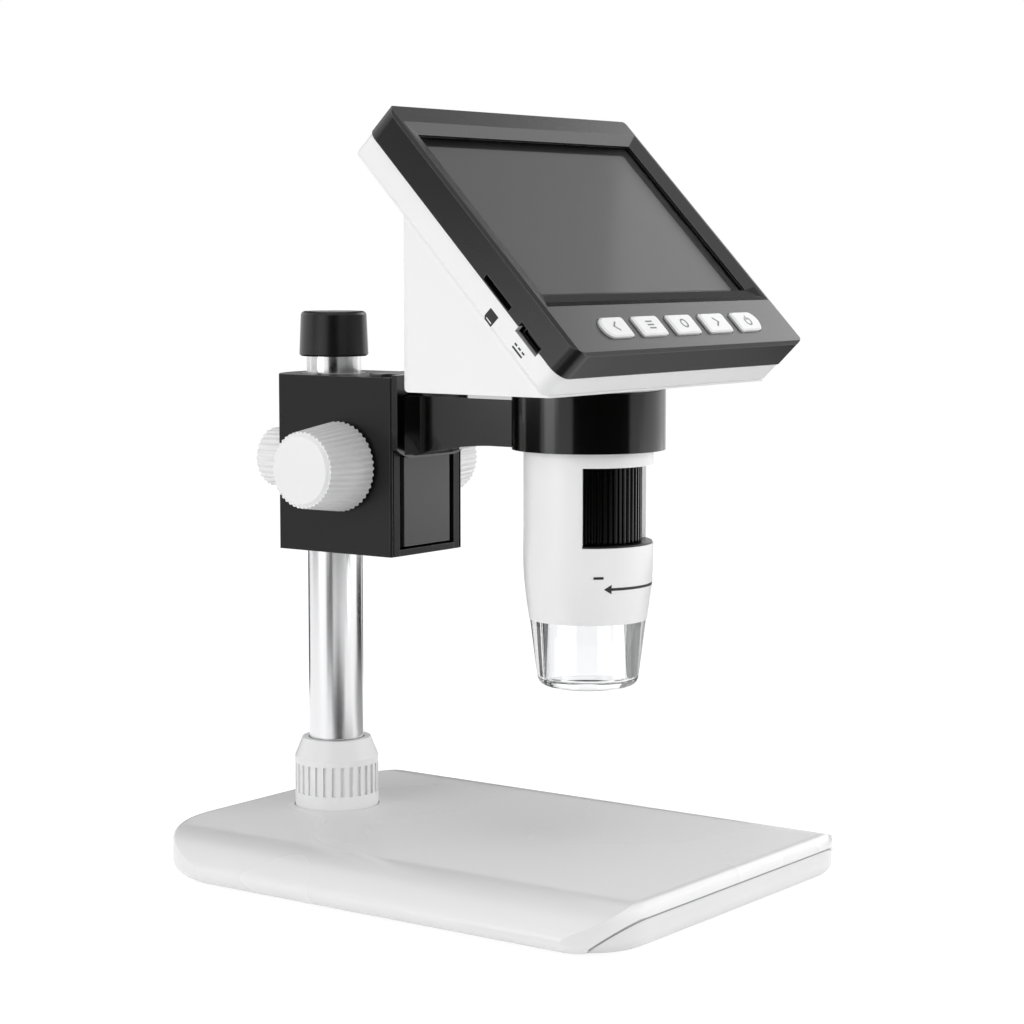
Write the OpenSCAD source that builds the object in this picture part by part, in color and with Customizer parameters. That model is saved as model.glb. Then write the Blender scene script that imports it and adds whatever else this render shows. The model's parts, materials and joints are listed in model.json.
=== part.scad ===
// Screen microscope on a column stand: a weighted base, a steel column, a focus block with
// rack and pinion, an arm with a ring, and a barrel that carries a tilted screen head.
// X is to the user's right, the user sits on the -Y side, Z is up. Lengths are millimetres.

/* [Base] */
// Width of the base across its rounded shoulders
base_w = 129.2; // [118:0.2:156]
// Length of the base, front to back
base_l = 169; // [158:1:200]
// Thickness of the base without its feet
base_t = 12.4; // [12:0.2:16]
// Radius of the rounded long shoulders
shoulder_r = 25.5; // [22:0.5:30]
// Radius of the small fillet along the front and back edges
end_fillet = 3.5; // [3:0.1:4]
// Radius that rounds the base's lower edge
lower_edge_r = 3.5; // [3:0.1:4]
// Radius of the base's front corners seen from above
front_corner_r = 19.5; // [14:0.5:24]
// Radius of the base's back corners seen from above
back_corner_r = 34; // [24:0.5:38]
// Wall of the base cover and of the tray's end walls
base_wall = 2.2; // [1.6:0.1:2.4]
// Height of the rubber feet under the base
foot_h = 1.6; // [1:0.2:4]
// Diameter of a rubber foot
foot_d = 13; // [10:0.5:16]

/* [Column] */
// Diameter of the steel column
column_d = 16.4; // [14:0.2:17]
// Wall of the column tube
column_wall = 1.3; // [1:0.1:2]
// Height of the top of the cap above the table
column_top = 163; // [160:1:190]
// Distance of the column's axis behind the middle of the base
column_y = 58.6; // [56:0.2:60]
// Outer diameter of the clamping collar
collar_d = 25.2; // [25:0.2:28]
// Height of the clamping collar
collar_h = 20.6; // [18:0.2:24]

/* [Focus block] */
// Width of the focus block and of the arm's root
block_w = 33.5; // [33:0.5:38]
// Height of the focus block
block_h = 51.8; // [50:0.2:56]
// Height of the underside of the focus block above the table
block_z = 92.9; // [84:0.1:93]
// Gap between the front of the block and the column's axis
block_reach = 35.1; // [35:0.1:38]
// Module of the rack and pinion
gear_module = 0.8; // [0.7:0.05:0.9]
// Large diameter of a focus knob, next to the block
knob_d = 26.3; // [24:0.1:30]
// Small diameter of a focus knob, at its outer face
knob_face_d = 22.1; // [20:0.1:24]
// Length of a focus knob
knob_l = 17.5; // [14:0.5:22]
// Diameter of the clamping knob behind the column
clamp_d = 18.2; // [15:0.1:20]

/* [Arm and barrel] */
// Distance between the column's axis and the barrel's axis
arm_reach = 92.2; // [88:0.2:96]
// Outer diameter of the ring that holds the barrel
ring_d = 43; // [42:0.5:48]
// Height of the ring
ring_h = 16.5; // [14:0.5:16.5]
// Outer diameter of the barrel
barrel_d = 36.4; // [35:0.2:36.4]
// Height of the lower end of the clear tip above the table
tip_z = 59.5; // [58:0.5:62]
// Length of the clear tip below the barrel
tip_l = 18.9; // [16:0.1:19]
// Height of the window for the focus wheel
window_h = 22; // [18:0.5:22]
// Half of the angle that the window spans
window_half_angle = 61; // [50:1:70]

/* [Head] */
// Width of the screen head
head_w = 113.6; // [113:0.2:122]
// Length of the screen head's face, bottom to top
head_l = 90.2; // [90:0.2:98]
// Tilt of the screen from level
head_tilt = 46; // [44:1:50]
// Depth of the black bezel
bezel_t = 9.3; // [9:0.1:11]
// Depth of the white rear shell behind the bezel
shell_t = 8.1; // [7.5:0.1:10]
// Corner radius of the head's face
head_corner_r = 4.5; // [3:0.1:6]
// Width of the lit area of the screen
screen_w = 95; // [90:0.1:96]
// Height of the lit area of the screen
screen_h = 54; // [50:0.1:54]
// Width of a button
button_w = 12.4; // [10:0.1:12.6]
// Height of a button
button_h = 6.8; // [6:0.1:7]
// Spacing of the five buttons
button_pitch = 16.6; // [16:0.1:17]

/* [Hidden] */
$fn = 64;

// One overrun serves every cut
over = 1;
// Running fit between a shaft and its bore, on the radius
fit = 0.05;
// Gap between flat sliding faces and between loose neighbours
gap = 0.3;
// Gap between moulded parts that are screwed together
seat_gap = 0.1;

// Screws: shank, hole and head radii, and the head's height
screw_r = 1.45;
screw_hole_r = 1.55;
screw_head_r = 2.7;
screw_head_h = 1.6;
screw_sink_r = screw_head_r + gap;
small_screw_r = 0.95;
small_hole_r = small_screw_r + seat_gap;
small_head_r = 1.8;
small_head_h = 1.2;
drive_r = 1.1;
drive_depth = 0.7;

// Base: on its long sides the shoulder's arc runs into the lower edge's arc
base_top = foot_h + base_t;
shoulder_z = base_top - shoulder_r;
edge_z = foot_h + lower_edge_r;
edge_x = base_w / 2 - lower_edge_r;
flat_half_w = edge_x - sqrt(pow(shoulder_r - lower_edge_r, 2) - pow(edge_z - shoulder_z, 2));
plan_spare = 0.5;
plan_half_w = base_w / 2 + plan_spare;
front_corner_y = front_corner_r - base_l / 2;
back_corner_y = base_l / 2 - back_corner_r;
tray_t = 2.2;
tray_inset = 0.4;
seam_drop = 3.7;
seam_run = 11;
seam_gap = 0.6;
foot_sink = 0.6;
foot_side = 20.6;
foot_end = 19.5;
foot_x = base_w / 2 - foot_side;
foot_y = base_l / 2 - foot_end;
boss_r = 3.8;
boss_top = foot_h + base_t / 3;
base_screw_x = foot_x;
base_screw_y = foot_y - foot_d / 2 - 2 * boss_r;
ballast_w = 2 * (base_screw_x - boss_r) - 2 * over;
ballast_l = 100;
ballast_t = 4.8;
ballast_corner_r = 6;
ballast_y = -base_l / 10;

// Column, its socket and its collar
column_r = column_d / 2;
socket_pad_t = 1.8;
socket_z = foot_h + tray_t + socket_pad_t;
socket_flange_t = 3;
socket_flange_w = 9.8;
socket_flange_r = column_r + socket_flange_w;
socket_floor = 1.4;
socket_wall = 2.7;
socket_neck_r = column_r + socket_wall;
socket_rise = 13;
socket_top = base_top + socket_rise;
socket_screw_ring_r = (socket_neck_r + socket_flange_r) / 2;
socket_screw_count = 4;
tube_z = socket_z + socket_floor + fit;
cap_h = 13.3;
cap_top_t = 1.6;
cap_wall = 2.1;
cap_taper = 0.5;
cap_r = column_r + cap_wall;
cap_top_r = cap_r - cap_taper;
cap_edge = 1;
cap_hollow = 1.1;
cap_z = column_top - cap_h;
tube_top = column_top - cap_top_t;
collar_sink = 1;
collar_z = base_top - collar_sink;
collar_r = collar_d / 2;
collar_cone_h = 5.7;
collar_top_wall = 2.1;
collar_top_r = column_r + collar_top_wall;
collar_edge = 0.6;
collar_shelf = 1.2;
groove_count = 30;
groove_w = 1.3;
groove_depth = 0.7;
groove_z_share = 0.2;
groove_h_share = 0.43;

// Focus block
block_front = column_y - block_reach;
block_shoulder_reach = 7.2;
block_back_reach = 13.9;
block_shoulder = column_y + block_shoulder_reach;
block_back = column_y + block_back_reach;
block_half_w = block_w / 2;
block_arc_r = (pow(block_half_w, 2) + pow(block_back - block_shoulder, 2))
    / (2 * (block_back - block_shoulder));
block_top = block_z + block_h;
block_edge = 0.55;
front_groove_side = 0.75;
front_groove_w = 0.7;
front_groove_depth = 0.5;
liner_wall = 1.25;
liner_h = 12;
liner_bore_r = column_r + fit;
liner_r = liner_bore_r + liner_wall;
block_bore_r = liner_r + fit;
block_wall = 3.9;
channel_half_w = block_half_w - block_wall;
channel_depth = 13;
way_w = 1.7;
way_t = 4;
way_setback = 5.5;
groove_half_w = channel_half_w + way_w;
groove_y = block_front + way_setback;

// Rack and pinion
pinion_teeth = 12;
pressure_angle = 20;
gear_backlash = 0.14;
gear_root_gap = 0.2;
pitch_r = pinion_teeth * gear_module / 2;
base_circle_r = pitch_r * cos(pressure_angle);
gear_tip_r = pitch_r + gear_module;
rack_addendum = 0.7 * gear_module;
gear_root_r = pitch_r - rack_addendum - gear_root_gap;
flank_steps = 3;
gear_w = 7;
pinion_setback = 18.6;
pinion_rise = 25.6;
pinion_y = block_front + pinion_setback;
pinion_z = block_z + pinion_rise;
shaft_r = 3;
shaft_fit_r = shaft_r + fit;
bush_r = 4.6;
bush_flange_r = 6.2;
bush_flange_t = 0.9;
bush_l = 8;
gear_room = 0.6;
gear_pocket_r = gear_tip_r + gear_room;
gear_pocket_half_w = gear_w / 2 + 2 * gear_room;
rack_pitch_y = pinion_y - pitch_r;
rack_tip_y = rack_pitch_y + rack_addendum;
rack_root_y = pinion_y - gear_tip_r - gear_root_gap;
tooth_pitch = PI * gear_module;
rack_w = 7;
rack_t = 3.1;
rack_teeth = 16;
rack_first_tooth = -7;

// Slide, its stop and the focus travel
focus_down = 0.5;
stop_h = 1.9;
stop_clearance = 0.3;
slide_z = block_z + stop_h + focus_down + stop_clearance;
slide_proud = 0.8;
slide_top = block_top + slide_proud;
slide_side_gap = 2.2;
slide_half_w = channel_half_w - slide_side_gap;
slide_flange_half_w = groove_half_w - gap;
slide_flange_y = groove_y + gap / 2;
slide_flange_t = way_t - gap;
slide_back = block_front + channel_depth - gap;
stop_tail = 6.5;
stop_back = block_front + channel_depth + stop_tail;
stop_screw_inset = 4.8;
stop_screw_x = channel_half_w - stop_screw_inset;
stop_screw_grip = 7;

// Knobs
knob_gap = 0.15;
knob_start = block_half_w + bush_flange_t + knob_gap;
knob_ribs = 44;
knob_rib_depth = 0.45;
knob_edge = 0.9;
knob_hub_r = 5.2;
knob_wall = 2.4;
knob_face_t = 3.2;
clamp_gap = 0.7;
clamp_y = block_back + clamp_gap;
clamp_l = 9.6;
clamp_ribs = 28;
clamp_taper = 0.4;
clamp_face_d = clamp_d - clamp_taper;
clamp_screw_r = 2.5;
clamp_insert_r = 4.2;
clamp_tip_y = column_y + column_r + gap;

// Arm and ring
barrel_y = column_y - arm_reach;
ring_r = ring_d / 2;
ring_wall = 2.3;
ring_bore_r = ring_r - ring_wall;
ring_drop = 18.7;
ring_z = block_top - ring_drop;
ring_top = ring_z + ring_h;
arm_half_w = 8.5;
arm_h = 13.3;
arm_top = ring_z + arm_h;
root_t = 2;
root_flare_t = 1.9;
root_flare_inset = 3.4;
root_flare_drop = 3.5;
root_back = block_front - gap;
root_front = root_back - root_t;
root_drop = 4.6;
root_z = ring_z - root_drop;
root_top = slide_top;
root_side_rise = 2.6;
root_arc_r = (pow(block_half_w - arm_half_w, 2) + pow(root_side_rise, 2)) / (2 * root_side_rise);
root_fillet_r = 5;
gusset_l = 30;
gusset_drop = 4.05;
gusset_r = (pow(gusset_l, 2) + pow(gusset_drop, 2)) / (2 * gusset_drop);
arm_end_y = barrel_y + ring_r - ring_wall / 2;
arm_screw_x = 6.4;
arm_screw_z_shares = [0.3, 0.82];
liner_slot_w = 1.2;
ring_liner_edge = 0.5;

// Barrel and its optics
barrel_r = barrel_d / 2;
barrel_wall = 2;
barrel_bore_r = barrel_r - barrel_wall;
barrel_z = tip_z + tip_l;
barrel_taper_h = 17.6;
barrel_taper = 1.7;
barrel_end_r = barrel_r - barrel_taper;
taper_steps = 5;
shoulder_lip_t = 0.8;
shoulder_lip_w = 2.2;
shoulder_lip_r = barrel_r + shoulder_lip_w;
barrel_top = ring_top + seat_gap + shoulder_lip_t;
barrel_flange_t = 2.4;
barrel_flange_bore_r = 12;
window_rise = 21.5;
window_z = barrel_z + window_rise;
tip_bore_r = barrel_end_r - barrel_wall;
tip_spigot_r = tip_bore_r - seat_gap;
tip_spigot_h = 5;
tip_wall = 2.2;
tip_step = 0.2;
tip_taper = 2;
tip_top_r = barrel_end_r - tip_step;
tip_low_r = tip_top_r - tip_taper;
tip_round_r = 3;
tip_lip = 0.9;
tip_arc_steps = 6;
led_board_t = 1.2;
led_board_z = barrel_z + tip_spigot_h + gap;
led_board_r = tip_bore_r - gap;
led_hole_r = 6.5;
led_count = 8;
led_ring_r = 9.4;
led_r = 1.5;
led_l = 3.2;
optic_z = led_board_z + led_board_t;
optic_top = barrel_top - barrel_flange_t;
optic_bore_r = 9;
optic_r = 11;
optic_low_flange_t = 2;
optic_seat_t = 2;
optic_seat_r = 14.5;
optic_flange_t = 2.5;
optic_flange_r = barrel_bore_r - gap;
thrust_t = 1;
sill_h = 0.5;
thrust_z = window_z - thrust_t + sill_h;
thrust_r = barrel_bore_r - seat_gap;
sill_r = barrel_r - gap;
wheel_z = thrust_z + thrust_t + gap;
wheel_h = window_h - sill_h - 2 * gap;
wheel_room = 1.2;
wheel_r = barrel_bore_r - wheel_room;
wheel_rib_depth = 0.7;
wheel_ribs = 56;
wheel_bore_r = optic_r + fit;
clip_z = wheel_z + wheel_h + gap;
clip_t = 1;
clip_r = 13;
clip_gap_w = 4;
carrier_r = optic_bore_r - fit;
carrier_wall = 2.1;
carrier_h = 20;
lens_travel = 4;
pin_r = 1;
pin_z = wheel_z + wheel_h / 2;
pin_end_r = optic_r - seat_gap;
carrier_rise = 4;
carrier_top = pin_z + carrier_rise;
lens_t = 3.4;
lens_lip = 1;
lens_edge_r = carrier_r - carrier_wall + lens_lip;
lens_sphere_r = 16;
sensor_board_t = 1.2;
sensor_board_r = barrel_flange_bore_r - gap;
sensor_w = 8;
sensor_t = 1;
barrel_screw_ring_r = (barrel_flange_bore_r + barrel_bore_r) / 2;
barrel_screw_count = 3;

// Head: places on the tilted face are [x, up the face], depth is along the face's normal
head_front_drop = 36.44;
head_y = barrel_y - head_front_drop;
head_rise = 11.4;
head_z = barrel_top + head_rise;
shell_inset = 0.3;
head_wall = 2.2;
shell_edge = 1.8;
bezel_edge = 0.9;
head_depth = bezel_t + shell_t;
front_t = 2.3;
facet_depth = 1.5;
screen_low = 24.1;
mask_side = 3;
mask_end = 2.2;
facet_side = 4.7;
facet_low = 5.2;
facet_top = 3.2;
window_half_w = screen_w / 2 + mask_side;
window_low = screen_low - mask_end;
window_high = screen_low + screen_h + mask_end;
glass_t = 1.1;
glass_lap = 1.8;
panel_t = 2.9;
panel_side = 5.2;
panel_low = 6.6;
panel_high = 6.4;
panel_depth = front_t + glass_t + seat_gap;
board_t = 1.5;
board_setback = 1.6;
board_depth = bezel_t + board_setback;
board_side = 8.2;
board_half_w = head_w / 2 - board_side;
board_low = 9;
board_high = head_l - board_low;
chip_t = 1.1;
chip_w = 14;
button_up = 8.4;
button_proud = 0.9;
button_travel = 0.8;
button_gap = 0.25;
button_flange = 1;
button_flange_t = 0.75;
button_stem_r = 1.6;
button_stem_h = 0.45;
button_corner_r = 1;
button_edge = 0.4;
switch_w = 5;
switch_h = 3.4;
plunger_r = 1.2;
plunger_h = 0.3;
switch_top_depth = front_t + button_flange_t + button_stem_h + button_travel + gap / 2;
switch_t = 1.7;
button_board_t = 1.2;
button_board_depth = switch_top_depth + switch_t;
button_board_half_w = 2.5 * button_pitch + button_flange;
button_board_low = head_wall + gap;
button_board_high = 14.6;
case_screw_side = 8.2;
case_screw_x = head_w / 2 - case_screw_side;
case_screw_up = 5.4;
case_boss_r = 3.2;
well_wall = 1.3;
case_well_r = screw_sink_r + well_wall;
case_head_sink = 1;
case_head_depth = head_depth - case_head_sink;
hook_w = 8;
hook_t = 1.4;
hook_x = head_w / 4;
usb_up = 14;
usb_w = 9.2;
usb_h = 3.3;
usb_shell_w = 7.6;
usb_shell_h = 2.6;
usb_shell_l = 5.6;
usb_tongue_h = 0.7;
port_wall_t = 0.4;
card_up = 29.2;
card_w = 11.6;
card_h = 1.7;
card_depth = 8.1;
card_shell_w = 13.2;
card_shell_l = 14;
card_shell_h = 1.9;
port_setback = 0.6;

// Wedge under the rear shell
wedge_side = 3.3;
wedge_half_w = head_w / 2 - wedge_side;
wedge_reach = 24.5;
wedge_back = barrel_y + wedge_reach;
wedge_z = barrel_top;
wedge_corner_r = 3;
wedge_floor_t = 2.5;
cable_hole_r = barrel_flange_bore_r - seat_gap;
battery_w = 60;
battery_l = 26;
battery_t = 7;
battery_gap = 2;
battery_y = wedge_back - head_wall - battery_l - battery_gap;
battery_z = wedge_z + wedge_floor_t + small_head_h + battery_gap;
battery_rib_t = 1.6;
battery_rib_x = 20;

// Turns a profile drawn in Y and Z into a bar centred on X
module along_x(length) {
    rotate([90, 0, 90]) linear_extrude(length, center = true) children();
}

// Turns a profile drawn in X and Z into a bar centred on Y
module along_y(length) {
    rotate([90, 0, 0]) linear_extrude(length, center = true) children();
}

// A rectangle with four round corners, centred
module rounded_rect(w, l, r) {
    square([w, l - 2 * r], center = true);
    square([w - 2 * r, l], center = true);
    for (x = [-1, 1], y = [-1, 1])
        translate([x * (w / 2 - r), y * (l / 2 - r)]) circle(r);
}

// What a round corner removes from a square one; the corner is at the origin
module corner_cut(r) {
    difference() {
        translate([-over, -over]) square(r + over);
        translate([r, r]) circle(r);
    }
}

// A rod along X between two places
module rod_x(r, from, to) {
    translate([from, 0, 0]) rotate([0, 90, 0]) cylinder(r = r, h = to - from);
}

// A rod along Y between two places
module rod_y(r, from, to) {
    translate([0, to, 0]) rotate([90, 0, 0]) cylinder(r = r, h = to - from);
}

// A pan-head screw that points up from the origin, its head below
module screw_up(length, shank_r, head_r, head_h) {
    difference() {
        union() {
            cylinder(r = shank_r, h = length);
            translate([0, 0, -head_h]) cylinder(r = head_r, h = head_h);
        }
        translate([0, 0, -head_h - over])
            cylinder(r = drive_r, h = over + min(drive_depth, head_h / 2), $fn = 6);
    }
}

// A star outline with straight flanks, for ribbed rims
module ribbed_outline(r, ribs, depth) {
    polygon([for (i = [0 : 4 * ribs - 1])
        let (a = (i - 0.5) * 90 / ribs, q = (floor(i / 2) % 2 == 0) ? r : r - depth)
        [q * cos(a), q * sin(a)]]);
}

/* Base */

// The part of a disc between two angles, less than half a turn apart
module sector(r, from, to) {
    intersection() {
        circle(r);
        polygon(concat([[0, 0]],
            [for (a = [from, (from + to) / 2, to]) [2 * r * cos(a), 2 * r * sin(a)]]));
    }
}

// The base seen from above, moved inwards by inset
module base_outline(inset) {
    half_w = base_w / 2 - inset;
    translate([-half_w, front_corner_y]) square([2 * half_w, back_corner_y - front_corner_y]);
    for (end = [[front_corner_y, front_corner_r - inset], [back_corner_y, back_corner_r - inset]])
        translate([0, end[0]]) {
            square([2 * (half_w - end[1]), 2 * end[1]], center = true);
            for (side = [-1, 1]) translate([side * (half_w - end[1]), 0]) circle(end[1]);
        }
}

// The base's outer form, moved inwards by inset
module base_form(inset = 0) {
    intersection() {
        along_y(base_l + 2 * over) shoulder_profile(inset);
        union() {
            translate([-plan_half_w, front_corner_y, foot_h + inset]) cube([2 * plan_half_w,
                back_corner_y - front_corner_y, base_t - 2 * inset]);
            translate([0, front_corner_y, 0]) mirror([0, 1, 0]) base_end(front_corner_r, inset);
            translate([0, back_corner_y, 0]) base_end(back_corner_r, inset);
        }
    }
}

// One end of the base, from the line of its corner centres out along +Y
module base_end(corner_r, inset) {
    half_w = plan_half_w - corner_r;
    along_x(2 * half_w) edge_profile(corner_r, inset);
    for (side = [0, 1]) mirror([side, 0, 0]) translate([half_w, 0, 0])
        rotate_extrude(angle = 90) edge_profile(corner_r, inset);
}

// The end wall in section, its fillet above and its rounded lower edge below
module edge_profile(reach, inset) {
    difference() {
        translate([0, foot_h + inset]) square([reach - inset, base_t - 2 * inset]);
        translate([reach - inset, base_top - inset]) rotate(180) corner_cut(end_fillet - inset);
        translate([reach - inset, foot_h + inset]) rotate(90) corner_cut(lower_edge_r - inset);
    }
}

// The section across the base: a flat top, a shoulder's arc and the lower edge's arc
module shoulder_profile(inset) {
    low = foot_h + inset;
    high = base_top - inset;
    steep = atan2(edge_z - shoulder_z, edge_x - flat_half_w);
    far = [flat_half_w + 2 * shoulder_r * cos(steep), shoulder_z + 2 * shoulder_r * sin(steep)];
    translate([-flat_half_w, low]) square([2 * flat_half_w, high - low]);
    for (side = [0, 1]) mirror([side, 0]) {
        intersection() {
            translate([flat_half_w, shoulder_z]) circle(shoulder_r - inset);
            polygon([
                [flat_half_w, low], [flat_half_w, far[1]], far, [edge_x, edge_z], [edge_x, low]
            ]);
        }
        translate([edge_x, edge_z]) sector(lower_edge_r - inset, -90, steep);
    }
}

// The space below the seam at both ends, lowered by the seam's own gap for the tray
module seam_space(lower) {
    along_x(base_w + 2 * over) for (side = [0, 1]) mirror([side, 0]) polygon([
        [base_l / 2 + over, base_top - seam_drop - lower],
        [base_l / 2 - tray_inset, base_top - seam_drop - lower],
        [base_l / 2 - seam_run + lower, foot_h],
        [base_l / 2 - seam_run + lower, foot_h - over],
        [base_l / 2 + over, foot_h - over]
    ]);
}

module base_screw_places() {
    for (x = [-1, 1], y = [-1, 1]) translate([x * base_screw_x, y * base_screw_y, 0])
        children();
}

module foot_places() {
    for (x = [-1, 1], y = [-1, 1]) translate([x * foot_x, y * foot_y, 0]) children();
}

module socket_screw_places() {
    for (i = [0 : socket_screw_count - 1])
        translate([0, column_y, 0]) rotate((i + 0.5) * 360 / socket_screw_count)
            translate([socket_screw_ring_r, 0, 0]) children();
}

module base_cover() {
    color("white") difference() {
        union() {
            difference() {
                base_form();
                base_form(base_wall);
                translate([0, 0, foot_h - over]) linear_extrude(base_wall + 2 * over)
                    base_outline(lower_edge_r);
                seam_space(0);
            }
            base_screw_places() translate([0, 0, boss_top + seat_gap])
                cylinder(r = boss_r, h = base_top - base_wall / 2 - boss_top - seat_gap);
        }
        base_screw_places() translate([0, 0, boss_top])
            cylinder(r = screw_hole_r, h = base_top - base_wall - boss_top);
        translate([0, column_y, foot_h]) cylinder(r = collar_r + gap, h = base_t + over);
    }
}

module base_tray() {
    color("gainsboro") difference() {
        union() {
            translate([0, 0, foot_h]) linear_extrude(tray_t) base_outline(lower_edge_r + gap);
            intersection() {
                difference() {
                    base_form(tray_inset);
                    base_form(base_wall + tray_inset);
                }
                seam_space(seam_gap);
            }
            base_screw_places() translate([0, 0, foot_h])
                cylinder(r = boss_r, h = boss_top - foot_h);
            translate([0, column_y, foot_h])
                cylinder(r = socket_flange_r, h = socket_z - foot_h);
        }
        foot_places() translate([0, 0, foot_h - over])
            cylinder(d = foot_d + gap, h = foot_sink + over);
        base_screw_places() translate([0, 0, foot_h - over]) {
            cylinder(r = screw_hole_r, h = base_t);
            cylinder(r = screw_sink_r, h = over + screw_head_h + gap);
        }
        socket_screw_places() translate([0, 0, foot_h - over]) {
            cylinder(r = screw_hole_r, h = base_t);
            cylinder(r = screw_sink_r, h = over + screw_head_h + gap);
        }
    }
}

module ballast_plate() {
    color("dimgray") translate([0, ballast_y, foot_h + tray_t])
        linear_extrude(ballast_t) rounded_rect(ballast_w, ballast_l, ballast_corner_r);
}

module base_feet() {
    color("black") foot_places() cylinder(d = foot_d, h = foot_h + foot_sink);
}

module base_screws() {
    color("silver") base_screw_places() translate([0, 0, foot_h + screw_head_h + gap])
        screw_up(base_t - base_wall - screw_head_h - 2 * gap, screw_r, screw_head_r, screw_head_h);
}

module column_socket() {
    color("silver") difference() {
        translate([0, column_y, socket_z]) {
            cylinder(r = socket_flange_r, h = socket_flange_t);
            cylinder(r = socket_neck_r, h = socket_top - socket_z);
        }
        translate([0, column_y, socket_z + socket_floor])
            cylinder(r = column_r + fit, h = socket_top);
        socket_screw_places() translate([0, 0, socket_z - over])
            cylinder(r = screw_hole_r, h = socket_flange_t + 2 * over);
    }
}

module socket_screws() {
    color("silver") socket_screw_places() translate([0, 0, foot_h + screw_head_h + gap])
        screw_up(socket_z + socket_flange_t - foot_h - screw_head_h - gap,
            screw_r, screw_head_r, screw_head_h);
}

/* Column */

module column_tube() {
    color("lightsteelblue") translate([0, column_y, tube_z]) difference() {
        cylinder(r = column_r, h = tube_top - tube_z);
        translate([0, 0, -over])
            cylinder(r = column_r - column_wall, h = tube_top - tube_z + 2 * over);
    }
}

module column_cap() {
    color("black") translate([0, column_y, cap_z]) rotate_extrude() polygon([
        [column_r + fit, cap_hollow], [cap_r - cap_edge / 2, 0], [cap_r, cap_edge / 2],
        [cap_top_r, cap_h - cap_edge], [cap_top_r - cap_edge / 3, cap_h - cap_edge / 3],
        [cap_top_r - cap_edge, cap_h], [0, cap_h], [0, cap_h - cap_top_t],
        [column_r + fit, cap_h - cap_top_t]
    ]);
}

module column_collar() {
    collar_end = collar_h + collar_sink;
    neck_end = socket_top - collar_z + gap;
    color("white") translate([0, column_y, collar_z]) difference() {
        rotate_extrude() polygon([
            [socket_neck_r + fit, 0], [collar_r - collar_edge, 0], [collar_r, collar_edge],
            [collar_r, collar_end - collar_cone_h], [collar_top_r, collar_end],
            [column_r + gap, collar_end], [column_r + gap, neck_end + collar_shelf],
            [socket_neck_r + fit, neck_end]
        ]);
        for (i = [0 : groove_count - 1]) rotate(i * 360 / groove_count)
            translate([collar_r - groove_depth, -groove_w / 2,
                collar_sink + groove_z_share * collar_h])
                cube([groove_depth + over, groove_w, groove_h_share * collar_h]);
    }
}

/* Focus block */

// The block's outline seen from above: flat front and sides and a shallow round back
module block_outline() {
    difference() {
        union() {
            translate([-block_half_w, block_front])
                square([block_w, block_shoulder - block_front]);
            intersection() {
                translate([0, block_back - block_arc_r]) circle(block_arc_r);
                translate([-block_half_w, block_shoulder - over])
                    square([block_w, block_back]);
            }
        }
        for (side = [0, 1]) mirror([side, 0]) translate([-block_half_w, block_front]) {
            rotate(45) square(block_edge * sqrt(2), center = true);
            translate([front_groove_side, -over]) square([front_groove_w,
                front_groove_depth + over]);
        }
    }
}

// The channel for the slide, with a way in each side wall and a slot for the rack
module channel_outline() {
    translate([-channel_half_w, block_front - over])
        square([2 * channel_half_w, channel_depth + over]);
    translate([-groove_half_w, groove_y]) square([2 * groove_half_w, way_t]);
    translate([-rack_w / 2 - gap, block_front])
        square([rack_w + 2 * gap, rack_tip_y + 2 * gap - block_front]);
}

module focus_block() {
    color([0.13, 0.13, 0.14]) difference() {
        translate([0, 0, block_z]) linear_extrude(block_h) difference() {
            block_outline();
            channel_outline();
            translate([0, column_y]) circle(block_bore_r);
        }
        translate([0, pinion_y, pinion_z]) {
            rod_x(bush_r + fit, -block_w, block_w);
            rod_x(gear_pocket_r, -gear_pocket_half_w, gear_pocket_half_w);
        }
        translate([0, 0, pinion_z]) rod_y(clamp_insert_r + fit, column_y, block_back + over);
        translate([0, 0, block_z - over]) linear_extrude(stop_h + seat_gap + over)
            stop_outline(0);
        stop_screw_places() cylinder(r = small_hole_r, h = stop_h + stop_screw_grip + over);
    }
}

module column_liners() {
    color("ivory") for (z = [block_z, block_top - liner_h])
        translate([0, column_y, z]) difference() {
            cylinder(r = liner_r, h = liner_h);
            translate([0, 0, -over]) cylinder(r = liner_bore_r, h = liner_h + 2 * over);
        }
}

module pinion_bushes() {
    color("goldenrod") for (side = [0, 1]) mirror([side, 0, 0])
        translate([0, pinion_y, pinion_z]) difference() {
            union() {
                rod_x(bush_r, block_half_w - bush_l, block_half_w);
                rod_x(bush_flange_r, block_half_w, block_half_w + bush_flange_t);
            }
            rod_x(shaft_fit_r, 0, block_w);
        }
}

module stop_screw_places() {
    for (side = [-1, 1]) translate([side * stop_screw_x, stop_back - stop_tail / 2, block_z])
        children();
}

// The plate that closes the channel from below and reaches under the block behind it
module stop_outline(inset) {
    translate([inset - channel_half_w, block_front])
        square([2 * (channel_half_w - inset), stop_back - inset - block_front]);
}

module stop_plate() {
    color([0.2, 0.2, 0.21]) difference() {
        translate([0, 0, block_z]) linear_extrude(stop_h) stop_outline(seat_gap);
        stop_screw_places() translate([0, 0, -over]) {
            cylinder(r = small_hole_r, h = stop_h + 2 * over);
            cylinder(r = small_head_r + seat_gap, h = small_head_h + over);
        }
    }
}

module stop_screws() {
    color("silver") stop_screw_places() translate([0, 0, small_head_h])
        screw_up(stop_h - small_head_h + stop_screw_grip, small_screw_r, small_head_r,
            small_head_h);
}

module clamp_insert() {
    color("goldenrod") translate([0, 0, pinion_z]) difference() {
        rod_y(clamp_insert_r, column_y + block_bore_r + gap, block_back);
        rod_y(clamp_screw_r + fit, column_y, block_back + over);
    }
}

/* Clamp */

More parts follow.
